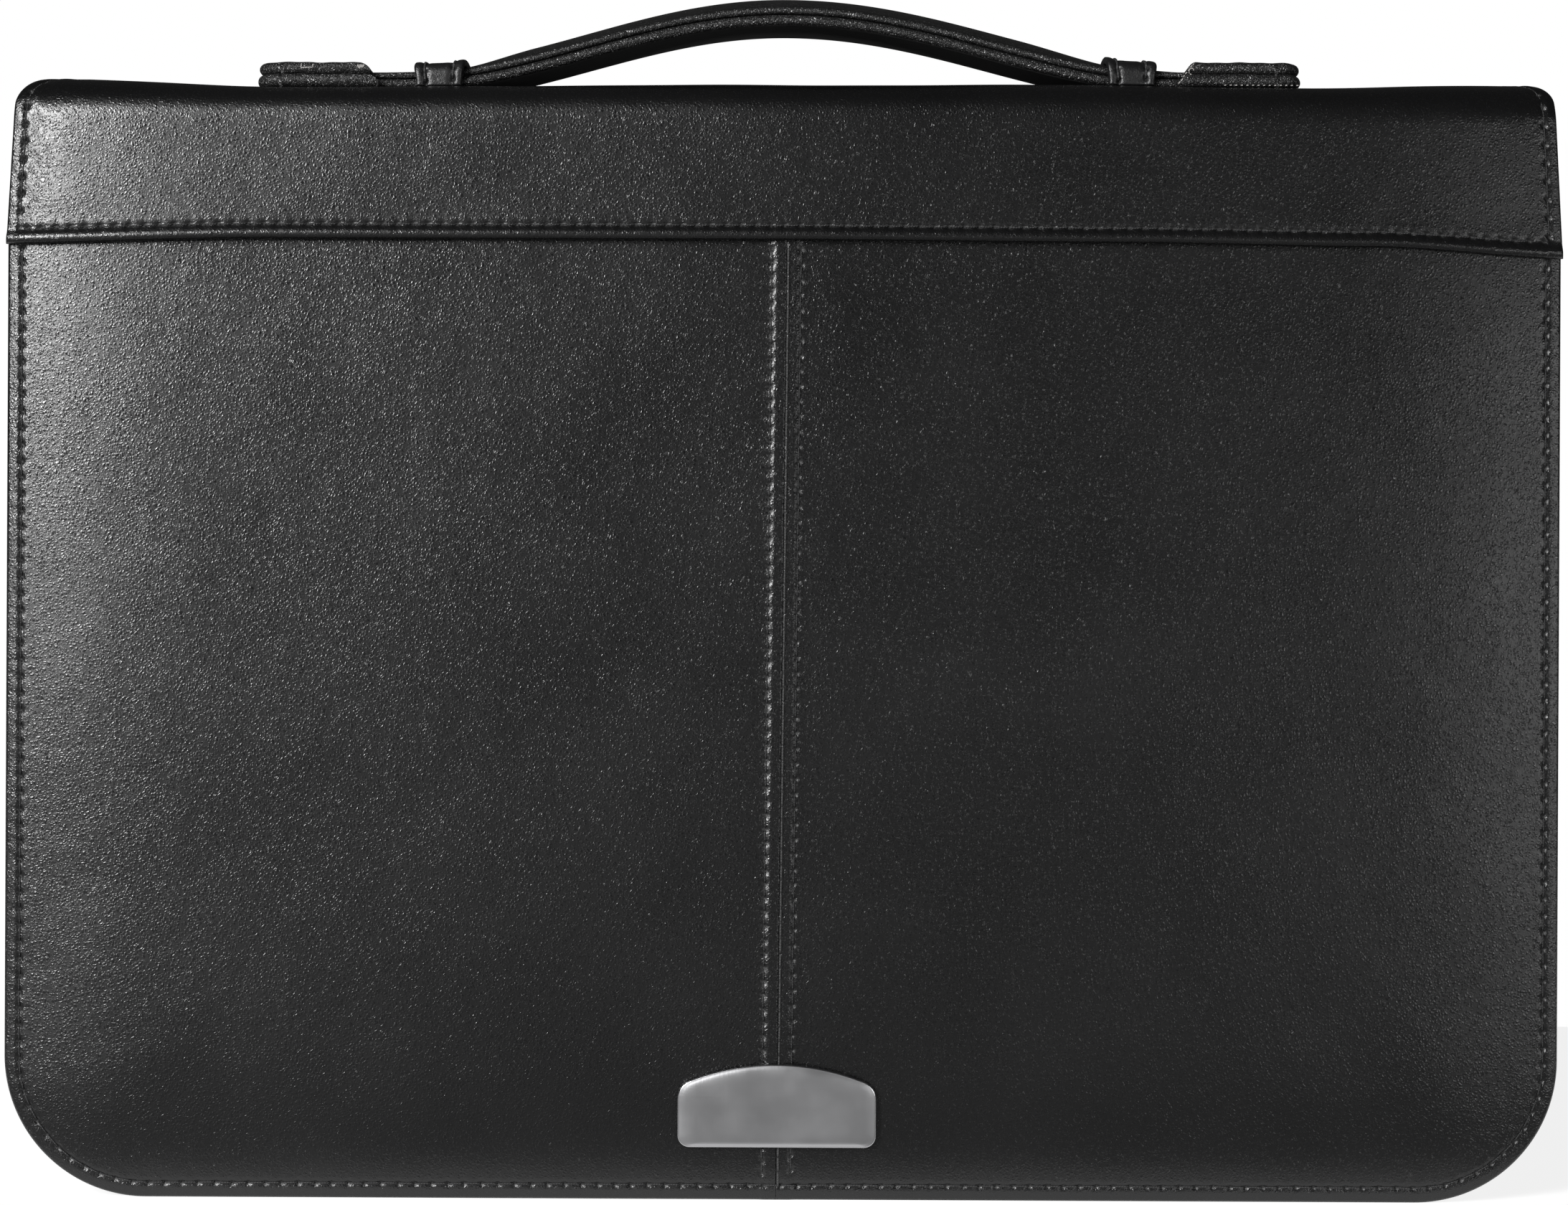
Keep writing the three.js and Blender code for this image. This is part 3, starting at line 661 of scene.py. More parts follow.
def hem_droop(x):
    """How far the front hem sinks at x."""
    return 3.2 * eased(x / case_half, [-1, -0.66, 0, 0.45, 0.75, 1], [0.45, 0.05, 0, 0.1, 0.32, 1])


def yoke_place(flat, height):
    """Carries x and the length s along the strip's section into space, with the height square to the section.

    The section is straight up, a quarter circle, level across the spine, a quarter circle and straight down.
    """
    x, s = flat[:, 0], flat[:, 1]
    back = s > yoke_length / 2
    s = np.where(back, yoke_length - s, s)
    turn = np.clip((s - face_length) / spine_radius, 0, math.pi / 2)
    face = cover_face(x, case_height - yoke_drop) + yoke_over
    over = np.clip((s - face_length - spine_arc) / (flat_length / 2), 0, 1)
    level = case_height - yoke_drop + np.minimum(s, face_length) + spine_radius * np.sin(turn)
    out = face - spine_radius + spine_radius * np.cos(turn) - over * (face - spine_radius)
    rise = np.clip((level - (case_height - yoke_drop)) / yoke_drop, 0, 1)
    corner = np.where(x > 0, shoulder_radius - 2.5, shoulder_radius - 0.5)
    shoulder = np.clip(level - (case_height - corner), 0, corner)
    round_off = corner - np.sqrt(corner ** 2 - shoulder ** 2)
    width = (yoke_half - yoke_taper * rise - round_off) / yoke_half
    sink = spine_dip(x) * np.sin(turn)
    droop = np.where(back, 0, hem_droop(x) * (1 - np.clip(s / face_length, 0, 1)))
    y = -(out + height * np.cos(turn))
    z = level + height * np.sin(turn) - sink - droop
    return np.stack([x * width, np.where(back, -y, y), z], 1)


def yoke_relief(x, s):
    """Height and darkness of the yoke: its hem rolls, the stitches along them and at its ends, and waves."""
    from_hem = np.minimum(s, yoke_length - s)
    from_end = yoke_half - np.abs(x)
    inside_end = smooth(from_end, 2.4, 4.6)
    inside_hem = smooth(from_hem, 2.2, 4.2)
    roll = hem_extra * np.cos(np.clip((from_hem - 1.2) / 2.2, -1, 1) * math.pi / 2) ** 2
    hem_height, hem_hole = stitch_relief(from_hem - hem_stitch_inset, x, hem_stitch_pitch, hem_seed, roll=0)
    end_s = s + end_stitch_shift * np.sign(x)
    end_height, end_hole = stitch_relief(from_end - end_stitch_inset, end_s, edge_stitch_pitch, end_seed)
    height = roll + hem_height * inside_end + end_height * np.maximum(inside_hem, 0.3)
    left = smooth(-x, yoke_half - 16, yoke_half - 5) * smooth(from_hem, 3, 8)
    height = height + 0.1 * left * np.sin((s * 0.8 + (yoke_half + x)) / 1.15) * bell(from_end - 6, 5)
    height = height + 0.8 * waves(x, s, 2.9) * smooth(from_hem, 4, 12) * smooth(from_end, 4, 14)
    return height, np.maximum(hem_hole * inside_end, end_hole * inside_hem)


def strip_outline(half, length, across, up):
    """A rectangle from -half to half and from 0 to length, drawn in by the inset, with mitred corners."""

    def outline(inset):
        parts, share = outline_parts(inset, (across, up, across, up))
        bottom = np.stack([(half - parts[0]) * (2 * share[0] - 1), parts[0]], 1)
        right = np.stack([half - parts[1], parts[1] + (length - 2 * parts[1]) * share[1]], 1)
        top = np.stack([(half - parts[2]) * (1 - 2 * share[2]), length - parts[2]], 1)
        left = np.stack([parts[3] - half, length - parts[3] - (length - 2 * parts[3]) * share[3]], 1)
        return np.vstack([bottom, right, top, left])

    return outline


spine_leather = grained_leather(
    "spine_leather", (0.004, 0.004, 0.0043, 1), (0.007, 0.007, 0.0073, 1), 0.17, 0.00075, 0.000045, 0.047
)
leather_sheet(
    "yoke", strip_outline(yoke_half, yoke_length, *yoke_cells), *yoke_cells, strip_rim, yoke_thickness,
    yoke_relief, yoke_place, material=spine_leather, slot="spine_leather", replaced=["spine_yoke"]
)

hem_count = math.floor((yoke_half - 5) / hem_stitch_pitch)
yoke_rows = [
    row_of_threads(
        yoke_place, yoke_relief, -hem_count, hem_count, hem_stitch_pitch, hem_seed,
        lambda hole, slip, foot=foot, way=way: np.stack([hole, foot + way * (hem_stitch_inset + slip)], 1)
    )
    for foot, way in ((0, 1), (yoke_length, -1))
]
for end_side in (-1, 1):
    shift = end_stitch_shift * end_side
    first_hole = math.ceil((4.5 + shift) / edge_stitch_pitch)
    last_hole = math.floor((yoke_length - 4.5 + shift) / edge_stitch_pitch)

    def end_sheet(hole, slip, side=end_side, shift=shift):
        """A hole's length along the strip, as x and s beside one end."""
        return np.stack([side * (yoke_half - end_stitch_inset - slip), hole - shift], 1)

    yoke_rows.append(
        row_of_threads(
            yoke_place, yoke_relief, first_hole, last_hole, edge_stitch_pitch, end_seed, end_sheet
        )
    )
threads("yoke_stitches", *joined(yoke_rows), cover_thread, "spine_leather")

# The zip runs down one side, along the bottom and up the other, in the recess between the covers. It has
# two woven tapes, a nylon coil whose loops hook into each other, and a slider with a pull. The photograph
# hides it.

zip_low, zip_high = box_mm("zip_tape_front")
tape_half = -zip_low[1]
zip_recess = case_half - zip_high[0]
zip_top = zip_high[2]
zip_bend = 8
zip_bend_x = zip_high[0] - zip_bend
zip_lap = 6
chain_half = box_mm("zip_chain")[1, 1]


def zip_line(step):
    """The zip's line in x and z at even steps, with its outward directions.

    It is a lap under the spine, a quarter turn, the left side, the lower corners and the bottom, and the same
    again on the right, each as straight or round pieces laid end to end.
    """
    arm = corner_radius - zip_recess
    pieces = [("straight", zip_lap), ("round", zip_bend), ("straight", zip_top - zip_bend - corner_radius)]
    pieces += [("round", arm), ("straight", corner_centre), ("straight", corner_centre), ("round", arm)]
    pieces += [("straight", zip_top - zip_bend - corner_radius), ("round", zip_bend), ("straight", zip_lap)]
    position, heading, out = np.array([zip_lap - zip_bend_x, zip_top]), math.pi, []
    for kind, size in pieces:
        length = size if kind == "straight" else size * math.pi / 2
        count = max(2, round(length / step))
        t = np.arange(count) / count * length
        if kind == "straight":
            line = position + np.outer(t, [math.cos(heading), math.sin(heading)])
            course = np.full(count, heading)
            position = position + length * np.array([math.cos(heading), math.sin(heading)])
        else:
            course = heading + t / size
            centre = position + size * np.array([-math.sin(heading), math.cos(heading)])
            line = centre + size * np.stack([np.sin(course), -np.cos(course)], 1)
            heading = heading + math.pi / 2
            position = centre + size * np.array([math.sin(heading), -math.cos(heading)])
        out.append(np.column_stack([line, course]))
    line = np.vstack([*out, np.column_stack([position[None], [heading]])])
    return line[:, :2], np.stack([np.sin(line[:, 2]), -np.cos(line[:, 2])], 1)


def swept(name, line, outward, section, material, slot, replaced=()):
    """A section of (y, out) points carried along a line in x and z: P = line + out * outward, and y stays."""
    ring = len(section)
    flat = line[:, None] + outward[:, None] * section[None, :, 1:]
    y = np.broadcast_to(section[None, :, 0], flat.shape[:2])
    points = np.stack([flat[..., 0], y, flat[..., 1]], -1).reshape(-1, 3)
    last = (len(line) - 1) * ring
    caps = [np.arange(ring)[None, ::-1], np.arange(ring)[None] + last]
    along = np.repeat(running_sum(np.linalg.norm(np.diff(line, axis=0), axis=1)), ring)
    across = np.tile(section[:, 0], len(line))
    finish_piece(
        name, points, [band_quads(len(line), ring, closed=True), *caps], material, slot, replaced,
        attributes={"along": along, "across": across}
    )


def bar_section(near, far, low, high, radius, steps=5):
    """A bar's section as a ring of (y, out) points with round corners."""
    corners = [(far - radius, high - radius, 0), (near + radius, high - radius, 1)]
    corners += [(near + radius, low + radius, 2), (far - radius, low + radius, 3)]
    rows = []
    for y, out, k in corners:
        turn = np.linspace(0, math.pi / 2, steps) + k * math.pi / 2
        rows.append(np.stack([y + radius * np.cos(turn), out + radius * np.sin(turn)], 1))
    return np.vstack(rows)


def woven_tape(name, colour):
    """Fine herringbone tape: height is sin(along) + sin(across), with the slant turned over every 1.6 mm."""
    material = bpy.data.materials.new(name)
    nodes = Nodes(material)
    along, across = nodes.attribute("along"), nodes.attribute("across")
    slant = nodes.maths("ADD", along, nodes.maths("PINGPONG", across, 1.6))
    rib = nodes.maths("SINE", nodes.maths("MULTIPLY", slant, 2 * math.pi / 0.55))
    yarn = nodes.maths("SINE", nodes.maths("MULTIPLY", across, 2 * math.pi / 0.4))
    weave = nodes.maths("ADD", rib, yarn)
    fuzz = nodes.noise(nodes.place(), 2500.0, 2.0)
    cloth = nodes.bump(weave, 0.0001, 0.8)
    cloth = nodes.bump(fuzz, 0.00005, 0.5, Normal=cloth)
    # The colour runs from half to full as the weave goes from low to high: painted shade in the weave's
    # hollows.
    tint = nodes.scaled(colour[:3], nodes.spread(weave, 0.5, 1.0, -2.0, 2.0))
    nodes.surface(tint, 0.85, cloth, Sheen_Weight=0.3, Sheen_Roughness=0.4)
    return material


tape_line, tape_outward = zip_line(1.5)
tape_cloth = woven_tape("tape_cloth", (0.016, 0.016, 0.017, 1))
tape_inner = chain_half + seat_gap
for tape_name, near, far in (("front", -tape_half, -tape_inner), ("back", tape_inner, tape_half)):
    tape_section = bar_section(near, far, -1.0, 0.0, 0.4)
    swept(
        f"zip_{tape_name}_tape", tape_line, tape_outward, tape_section, tape_cloth, "zip_cloth",
        [f"zip_tape_{tape_name}"]
    )


def moulded_nylon(name, colour, roughness):
    """Plain moulded or enamelled black, with faint flow marks."""
    material = bpy.data.materials.new(name)
    nodes = Nodes(material)
    mark = nodes.noise(nodes.place(), 700.0, 3.0)
    rough = nodes.spread(mark, roughness - 0.08, roughness + 0.12)
    nodes.surface(colour, rough, nodes.bump(mark, 0.00003, 0.3))
    return material


coil_nylon = moulded_nylon("coil_nylon", (0.014, 0.014, 0.015, 1), 0.35)
swept(
    "zip_core", tape_line, tape_outward, bar_section(-chain_half, chain_half, -1.9, -0.5, 0.5),
    coil_nylon, "zip_coil", ["zip_chain"]
)


def coil_loops(line, outward):
    """The coil's loops, as bars that reach over the middle from either side in turn.

    Each is five rings of six points along y. The bar is round, thickest at its head and lower at its foot.
    """
    count, rings, ring_points = len(line), 5, 6
    each = rings * ring_points
    way = np.where(np.arange(count) % 2, 1, -1)[:, None, None]
    reach = np.linspace(-0.55, 2.55, rings)[None, :, None]
    turn = (np.arange(ring_points) * 2 * math.pi / ring_points)[None, None, :]
    swell = np.array([0.3, 0.42, 0.34, 0.34, 0.3])[None, :, None]
    lift = np.array([0.3, 0.28, 0.22, 0.05, -0.35])[None, :, None]
    y = np.broadcast_to(way * reach, (count, rings, ring_points))
    out = lift + swell * np.sin(turn) + np.zeros((count, 1, 1))
    beside = swell * np.cos(turn) + np.zeros((count, 1, 1))
    course = np.stack([-outward[:, 1], outward[:, 0]], 1)
    flat = line[:, None, None] + outward[:, None, None] * out[..., None]
    flat = flat + course[:, None, None] * beside[..., None]
    points = np.stack([flat[..., 0], y, flat[..., 1]], -1).reshape(-1, 3)
    shift = np.arange(count)[:, None, None] * each
    one = band_quads(rings, ring_points, closed=True)
    turned = np.where(way > 0, one[None], one[None, :, ::-1])
    sides = (turned + shift).reshape(-1, 4)
    ring = np.arange(ring_points)[None]
    last = ring + each - ring_points
    near = np.where(way[:, 0] > 0, ring[:, ::-1], ring) + shift[:, :, 0]
    far = np.where(way[:, 0] > 0, last, last[:, ::-1]) + shift[:, :, 0]
    return points, [sides, near, far]


coil_line, coil_outward = zip_line(0.75)
points, blocks = coil_loops(coil_line, coil_outward)
finish_piece("zip_coil", points, blocks, coil_nylon, "zip_coil")


def rounded_slab(outline, thickness, bevel, centre, dome=0.0, rings=8):
    """A flat slab with a rounded rim, as rings from the middle of its face to the middle of its back.

    outline(inset) gives the closed line at an inset. The rim is a quarter circle of radius bevel at each
    side. The face swells by dome * (1 - share^12), where share runs from 0 at the middle to 1 at the rim.
    Points are (x, y, height).
    """
    centre = np.array(centre)
    edge = outline(bevel)
    rows = []
    for share in np.linspace(0.08, 1, rings):
        flat = centre + (edge - centre) * share
        rows.append(np.column_stack([flat, np.full(len(flat), thickness + dome * (1 - share ** 12))]))
    for turn in np.linspace(0, math.pi / 2, 6)[1:]:
        flat = outline(bevel * (1 - math.sin(turn)))
        rows.append(np.column_stack([flat, np.full(len(flat), thickness - bevel * (1 - math.cos(turn)))]))
    for turn in np.linspace(math.pi / 2, math.pi, 4):
        flat = outline(bevel * (1 - math.sin(turn)))
        rows.append(np.column_stack([flat, np.full(len(flat), bevel * (1 + math.cos(turn)))]))
    rows.append(np.column_stack([centre + (edge - centre) * 0.08, np.zeros(len(edge))]))
    count = len(edge)
    points = np.vstack([*rows, [[*centre, thickness + dome], [*centre, 0]]])
    here = np.arange(count)
    there = (here + 1) % count
    last = (len(rows) - 1) * count
    top = np.stack([np.full(count, len(points) - 2), here, there], 1)
    bottom = np.stack([np.full(count, len(points) - 1), there + last, here + last], 1)
    return points, [band_quads(len(rows), count, closed=True)[:, ::-1], top, bottom]


def offset_outline(points):
    """Turns a smooth closed line into outline(inset), by moving each point in along its normal."""
    ahead = np.roll(points, -1, 0) - np.roll(points, 1, 0)
    ahead = ahead / np.linalg.norm(ahead, axis=1, keepdims=True)
    inward = np.stack([-ahead[:, 1], ahead[:, 0]], 1)
    return lambda inset: points + inward * inset


def round_corners(corners, radii, steps=8):
    """A polygon with each corner replaced by an arc, anticlockwise.

    The arc's centre is the corner moved in along both sides' normals by the radius.
    """
    corners = np.array(corners, float)
    out = []
    for k, radius in enumerate(radii):
        before = corners[k] - corners[k - 1]
        after = corners[(k + 1) % len(corners)] - corners[k]
        start = math.atan2(before[1], before[0])
        swing = (math.atan2(after[1], after[0]) - start + math.pi) % (2 * math.pi) - math.pi
        first = np.array([math.sin(start), -math.cos(start)])
        last = np.array([math.sin(start + swing), -math.cos(start + swing)])
        centre = corners[k] - (first + last) * radius / (1 + first @ last)
        turn = start + swing * np.linspace(0, 1, steps)
        out.append(centre + radius * np.stack([np.sin(turn), -np.cos(turn)], 1))
    return np.vstack(out)


def dense_line(points, step):
    """Closed line with points added so that no piece is longer than step."""
    gaps = np.linalg.norm(np.roll(points, -1, 0) - points, axis=1)
    counts = np.maximum(1, np.ceil(gaps / step)).astype(int)
    start = np.repeat(points, counts, 0)
    run = np.repeat(np.roll(points, -1, 0) - points, counts, 0)
    share = np.concatenate([np.arange(n) / n for n in counts])[:, None]
    return start + run * share


slider_low, slider_high = box_mm("zip_slider")
slider_enamel = moulded_nylon("slider_enamel", (0.02, 0.02, 0.021, 1), 0.28)
slider_top = slider_high[2]
# Each part's corners, their radius, how far out it lies, and its thickness.
slider_parts = (
    ("slider_body", [(2.6, -11), (4.3, -3.8), (2.5, 0), (-2.5, 0), (-4.3, -3.8), (-2.6, -11)], 0.9, 0.0, 1.9),
    ("slider_bridge", [(1.0, -8.2), (1.0, -1.2), (-1.0, -1.2), (-1.0, -8.2)], 0.7, 1.7, 0.9),
    ("slider_pull", [(2.7, -32.2), (2.7, -2.6), (-2.7, -2.6), (-2.7, -32.2)], 2.4, 2.0, 0.8)
)
for part_name, part_corners, part_radius, part_lift, part_thickness in slider_parts:
    part_line = dense_line(round_corners(part_corners, [part_radius] * len(part_corners)), 0.6)
    part_points, part_blocks = rounded_slab(
        offset_outline(part_line), part_thickness, 0.3, part_line.mean(0), dome=0.05
    )
    part_out = slider_low[0] + part_lift + part_points[:, 2]
    part_points = np.stack([part_out, part_points[:, 0], slider_top + part_points[:, 1]], 1)
    finish_piece(
        part_name, part_points, part_blocks, slider_enamel, "zip_metal",
        ["zip_slider"] if part_name == "slider_body" else ()
    )

# The name plate is a piece of satin nickel with straight sides, an arched top and a polished round rim.
# Prongs that don't show hold it to the leather. It is left bare.

plate_low, plate_high = box_mm("name_plate")
plate_shift = -0.35
plate_x = (plate_low[0] + plate_high[0]) / 2 + plate_shift
plate_half = (plate_high[0] - plate_low[0]) / 2
plate_bottom = 12.7
plate_height = 19.5
plate_shoulder = 14.3
plate_thickness = 1.4
plate_bevel = 0.4
plate_dome = 0.45
plate_corner = 2.8


def plate_line():
    """The plate's outline: a bottom, two sides and an arc of a circle through the shoulders and the top."""
    rise = plate_height - plate_shoulder
    radius = (plate_half ** 2 + rise ** 2) / (2 * rise)
    span = math.asin((plate_half - 4.0) / radius)
    turn = np.linspace(span, -span, 90)
    arch = np.stack([radius * np.sin(turn), plate_height - radius + radius * np.cos(turn)], 1)
    shoulder = np.linspace(0, 1, 8)[:, None]
    right_knee = np.array([plate_half, plate_shoulder + 0.6])
    start = np.array([plate_half, plate_shoulder - 3.0])
    right = (1 - shoulder) ** 2 * start + 2 * shoulder * (1 - shoulder) * right_knee + shoulder ** 2 * arch[0]
    left = right[::-1] * np.array([-1, 1])
    turn = np.linspace(-math.pi / 2, 0, 10)
    x = plate_half - plate_corner + plate_corner * np.cos(turn)
    corner = np.stack([x, plate_corner + plate_corner * np.sin(turn)], 1)
    other = corner[::-1] * np.array([-1, 1])
    return dense_line(np.vstack([corner, right[:-1], arch[:-1], left, other]), 0.35)


def satin_plate(name):
    """Satin nickel: fine upright brush lines, slanting scratches, a faint smudge, and a polished rim.

    The rim attribute is 1 on the rounded rim. Brush lines are a noise stretched 33 times along z, and
    scratches are thin bands of a turned noise stretched 20 times.
    """
    material = bpy.data.materials.new(name)
    nodes = Nodes(material)
    place = nodes.place()
    upright = nodes.add("Mapping", {"Vector": place, "Scale": (1.0, 1.0, 0.03)})
    turned = nodes.add("Mapping", {"Vector": place, "Rotation": (0, 0.9, 0), "Scale": (0.05, 1.0, 1.0)})
    scratch = nodes.spread(nodes.noise(turned, 1400.0, 1.0), 0.0, 1.0, 0.66, 0.72)
    cloud = nodes.noise(place, 110.0, 4.0)
    polish = nodes.spread(nodes.attribute("rim"), 1.0, 0.55)
    rough = nodes.maths("MULTIPLY", nodes.spread(cloud, 0.26, 0.44), polish)
    lines = nodes.bump(nodes.noise(upright, 2000.0, 2.0), 0.00002, 0.6)
    cuts = nodes.bump(scratch, 0.00001, 0.35, Normal=lines)
    tint = nodes.scaled((0.48, 0.48, 0.49), nodes.spread(cloud, 0.86, 1.05))
    nodes.surface(tint, rough, cuts, Metallic=1.0)
    return material


plate_points, plate_blocks = rounded_slab(
    offset_outline(plate_line()), plate_thickness, plate_bevel, (0, plate_height * 0.47), plate_dome, rings=36
)
plate_rim = (plate_points[:, 2] < plate_thickness - 0.01) * 1.0
plate_levels = plate_bottom + plate_height * np.array([0, 0.5, 1])
plate_feet = cover_face(np.full(3, plate_x), plate_levels)
plate_lean = math.atan((plate_feet[2] - plate_feet[0]) / plate_height)
plate_out = plate_feet[1] + (plate_feet[0] - plate_feet[2]) / 2 + seat_gap
plate_y = -(plate_out + plate_points[:, 1] * math.sin(plate_lean) + plate_points[:, 2] * math.cos(plate_lean))
plate_z = plate_bottom + plate_points[:, 1] * math.cos(plate_lean) - plate_points[:, 2] * math.sin(plate_lean)
plate_points = np.stack([plate_x + plate_points[:, 0], plate_y, plate_z], 1)
finish_piece(
    "plate", plate_points, plate_blocks, satin_plate("plate_nickel"), "plate_metal", ["name_plate"],
    attributes={"rim": plate_rim}
)

# The handle is two strips of thick leather with rolled edges, laid one on the other. The upper one is drawn
# over a cord, so that its middle stands proud. They lie on the spine at both ends and arch between the
# keepers.

strip_reach = box_mm("handle_strip_lower")[1, 0] - 1.0
strip_width = 2 * box_mm("handle_strip_lower")[1, 1]
upper_width = 2 * box_mm("handle_strip_upper")[1, 1]
lower_thickness = 2.4
upper_thickness = 1.7
strip_height = lower_thickness + seat_gap + upper_thickness
arch_half = 80
arch_rise = 14.4
pad_inner_x = box_mm("handle_end_right")[0, 0]


def strip_base(x):
    """The handle's under side: on the spine, and arch * cos(x / half * 90 degrees)^1.6 above it between."""
    arch = arch_rise * np.cos(np.clip(np.abs(x) / arch_half, 0, 1) * math.pi / 2) ** 1.6
    return case_height - spine_dip(x) + seat_gap + arch


def strip_share(x):
    """The strips thin to 85% towards the pads."""
    return 1 - 0.15 * smooth(np.abs(x), arch_half - 18, pad_inner_x)


def strip_crown(x):
    """How far the cord lifts the middle of the upper strip."""
    shares, lifts = [-1, -0.86, -0.6, 0, 0.56, 0.86, 1], [0.1, 0.2, 0.7, 0.82, 0.82, 0.4, 0.15]
    return 3.6 * eased(x / pad_inner_x, shares, lifts)


def strip_surface(name, section, material, replaced):
    """Carries a section along the handle, square to its line.

    section(x) gives y, the height above the base, and how wrinkled each point is, which is below zero on the
    flesh side.
    """
    x = np.linspace(-strip_reach, strip_reach, 420)
    y, up, wrinkle = section(x)
    base = strip_base(x)
    slope = np.arctan2(strip_base(x + 0.5) - strip_base(x - 0.5), 1.0)[:, None]
    points = np.stack([x[:, None] - up * np.sin(slope), y, base[:, None] + up * np.cos(slope)], -1)
    girth = running_sum(np.hypot(*np.diff(np.stack([y[200], up[200]]))))
    ring = points.shape[1]
    along = np.repeat(running_sum(np.hypot(np.diff(x), np.diff(base))), ring)
    around = np.tile(girth, len(x))
    caps = [np.arange(ring)[None, ::-1], np.arange(ring)[None] + (len(x) - 1) * ring]
    attributes = {
        "along": along,
        "around": around,
        "wrinkle": np.tile(np.maximum(wrinkle, 0), len(x)),
        "flesh": np.tile((wrinkle < 0) * 1.0, len(x)),
    }
    blocks = [band_quads(len(x), ring, closed=True), *caps]
    finish_piece(name, points.reshape(-1, 3), blocks, material, "handle_leather", [replaced], attributes)


def lower_section(x):
    """A bar with half round edges that swell a little, as a real rolled edge does."""
    share = strip_share(x)[:, None]
    radius = lower_thickness / 2 * share
    roll = 1.08 * radius
    turn = np.linspace(-math.pi / 2, math.pi / 2, 20)[None]
    inner = np.linspace(-1, 1, 12)[None]
    half = strip_width / 2
    y_right = half - roll + roll * np.cos(turn)
    up_right = radius + radius * np.sin(turn)
    flat = half - roll
    y = np.concatenate([y_right, -flat * inner, -y_right[:, ::-1], flat * inner], 1)
    up = np.concatenate([up_right, 2 * radius - 0 * inner, up_right[:, ::-1], 0 * inner * radius], 1)
    wrinkle = np.concatenate([np.ones(20), np.full(12, 0.3), np.ones(20), np.full(12, -1)])
    return y, up, wrinkle


def upper_section(x):
    """Half round edge rolls, a dip inside each, and a dome of crown * (1 - w^2)^0.8 between them."""
    share = strip_share(x)[:, None]
    crown = strip_crown(x)[:, None]
    radius = upper_thickness / 2 * share
    middle = (lower_thickness + seat_gap + upper_thickness / 2) * share
    turn = np.linspace(-math.pi / 2, math.pi / 2, 18)[None]
    half = upper_width / 2
    flat = half - radius
    y_right = flat + radius * np.cos(turn)
    up_right = middle + radius * np.sin(turn)
    w = np.linspace(0.97, -0.97, 44)[None]
    across = flat * w
    beside = flat - np.abs(across)
    dome = crown * (1 - w ** 2) ** 0.8 - 0.45 * bell(beside - 0.75, 0.45)
    under = np.linspace(-1, 1, 10)[None]
    y = np.concatenate([y_right, across, -y_right[:, ::-1], flat * under], 1)
    up = np.concatenate([up_right, middle + radius + dome, up_right[:, ::-1], middle - radius + 0 * under], 1)
    wrinkle = np.concatenate([np.full(18, 0.8), np.full(44, 0.12), np.full(18, 0.8), np.full(10, 0.2)])
    return y, up, wrinkle


def rolled_leather(name, dark, light, roughness):
    """Thick glazed leather that is wrinkled where it is rolled.

    The wrinkles are cells 0.45 mm long and 0.8 mm wide across the roll, bent by a noise, from the piece's
    along and around lengths. The wrinkle attribute says how strong they are, and flesh is 1 on the matt
    under side. A fine pebble lies on all of it, and small spots on the tops of the wrinkles are lighter in
    colour: a painted highlight speckle.
    """
    material = bpy.data.materials.new(name)
    nodes = Nodes(material)
    place = nodes.place()
    bend = nodes.spread(nodes.noise(place, 1100.0, 2.0), -0.3, 0.3)
    along = nodes.maths("DIVIDE", nodes.maths("ADD", nodes.attribute("along"), bend), 0.45)
    around = nodes.maths("DIVIDE", nodes.attribute("around"), 0.8)
    cell = {"Vector": nodes.add("CombineXYZ", {0: along, 1: around}), "Scale": 1.0}
    fold = nodes.add("TexVoronoi", cell, "Distance", feature="DISTANCE_TO_EDGE")
    fold = nodes.spread(fold, 0.0, 1.0, 0.0, 0.32, steps="SMOOTHSTEP")
    fold = nodes.maths("MULTIPLY", fold, nodes.attribute("wrinkle"))
    pebble = nodes.add("TexVoronoi", {"Vector": place, "Scale": 2400.0}, "Distance")
    swell = nodes.noise(place, 260.0, 3.0)
    relief = nodes.bump(swell, 0.00015)
    relief = nodes.bump(fold, 0.00014, Normal=relief)
    relief = nodes.bump(pebble, 0.00003, 0.6, Normal=relief)
    # Small lighter spots on the tops of the wrinkles: a painted highlight speckle.
    painted_speckle_highlight = nodes.spread(nodes.noise(place, 2600.0, 1.0), 0.0, 0.16, 0.5, 0.72)
    tone = nodes.maths("ADD", nodes.spread(swell, dark, light), nodes.maths("MULTIPLY", painted_speckle_highlight, fold))
    rough = nodes.spread(swell, roughness - 0.06, roughness + 0.1)
    rough = nodes.maths("MULTIPLY_ADD", nodes.attribute("flesh"), 0.6, rough)
    nodes.surface(tone, rough, relief)
    return material


handle_leather = rolled_leather("handle_leather", 0.006, 0.012, 0.26)
strip_surface("handle_lower_strip", lower_section, handle_leather, "handle_strip_lower")
strip_surface("handle_upper_strip", upper_section, handle_leather, "handle_strip_upper")

# The end pads are thick leather folded into two rolls, one on the other, sewn down over the ends of the
# strips. Their inner ends are cut to a slope. The left one has nicks and a ragged end, and the right one is
# frayed.

pad_low, pad_high = box_mm("handle_end_right")
pad_half_width = pad_high[1]
pad_outer_x = {-1: pad_high[0] + 1.6, 1: pad_high[0] - 1.3}
pad_height = pad_high[2] - pad_low[2]
pad_joint = 0.54 * pad_height
pad_corner = 6


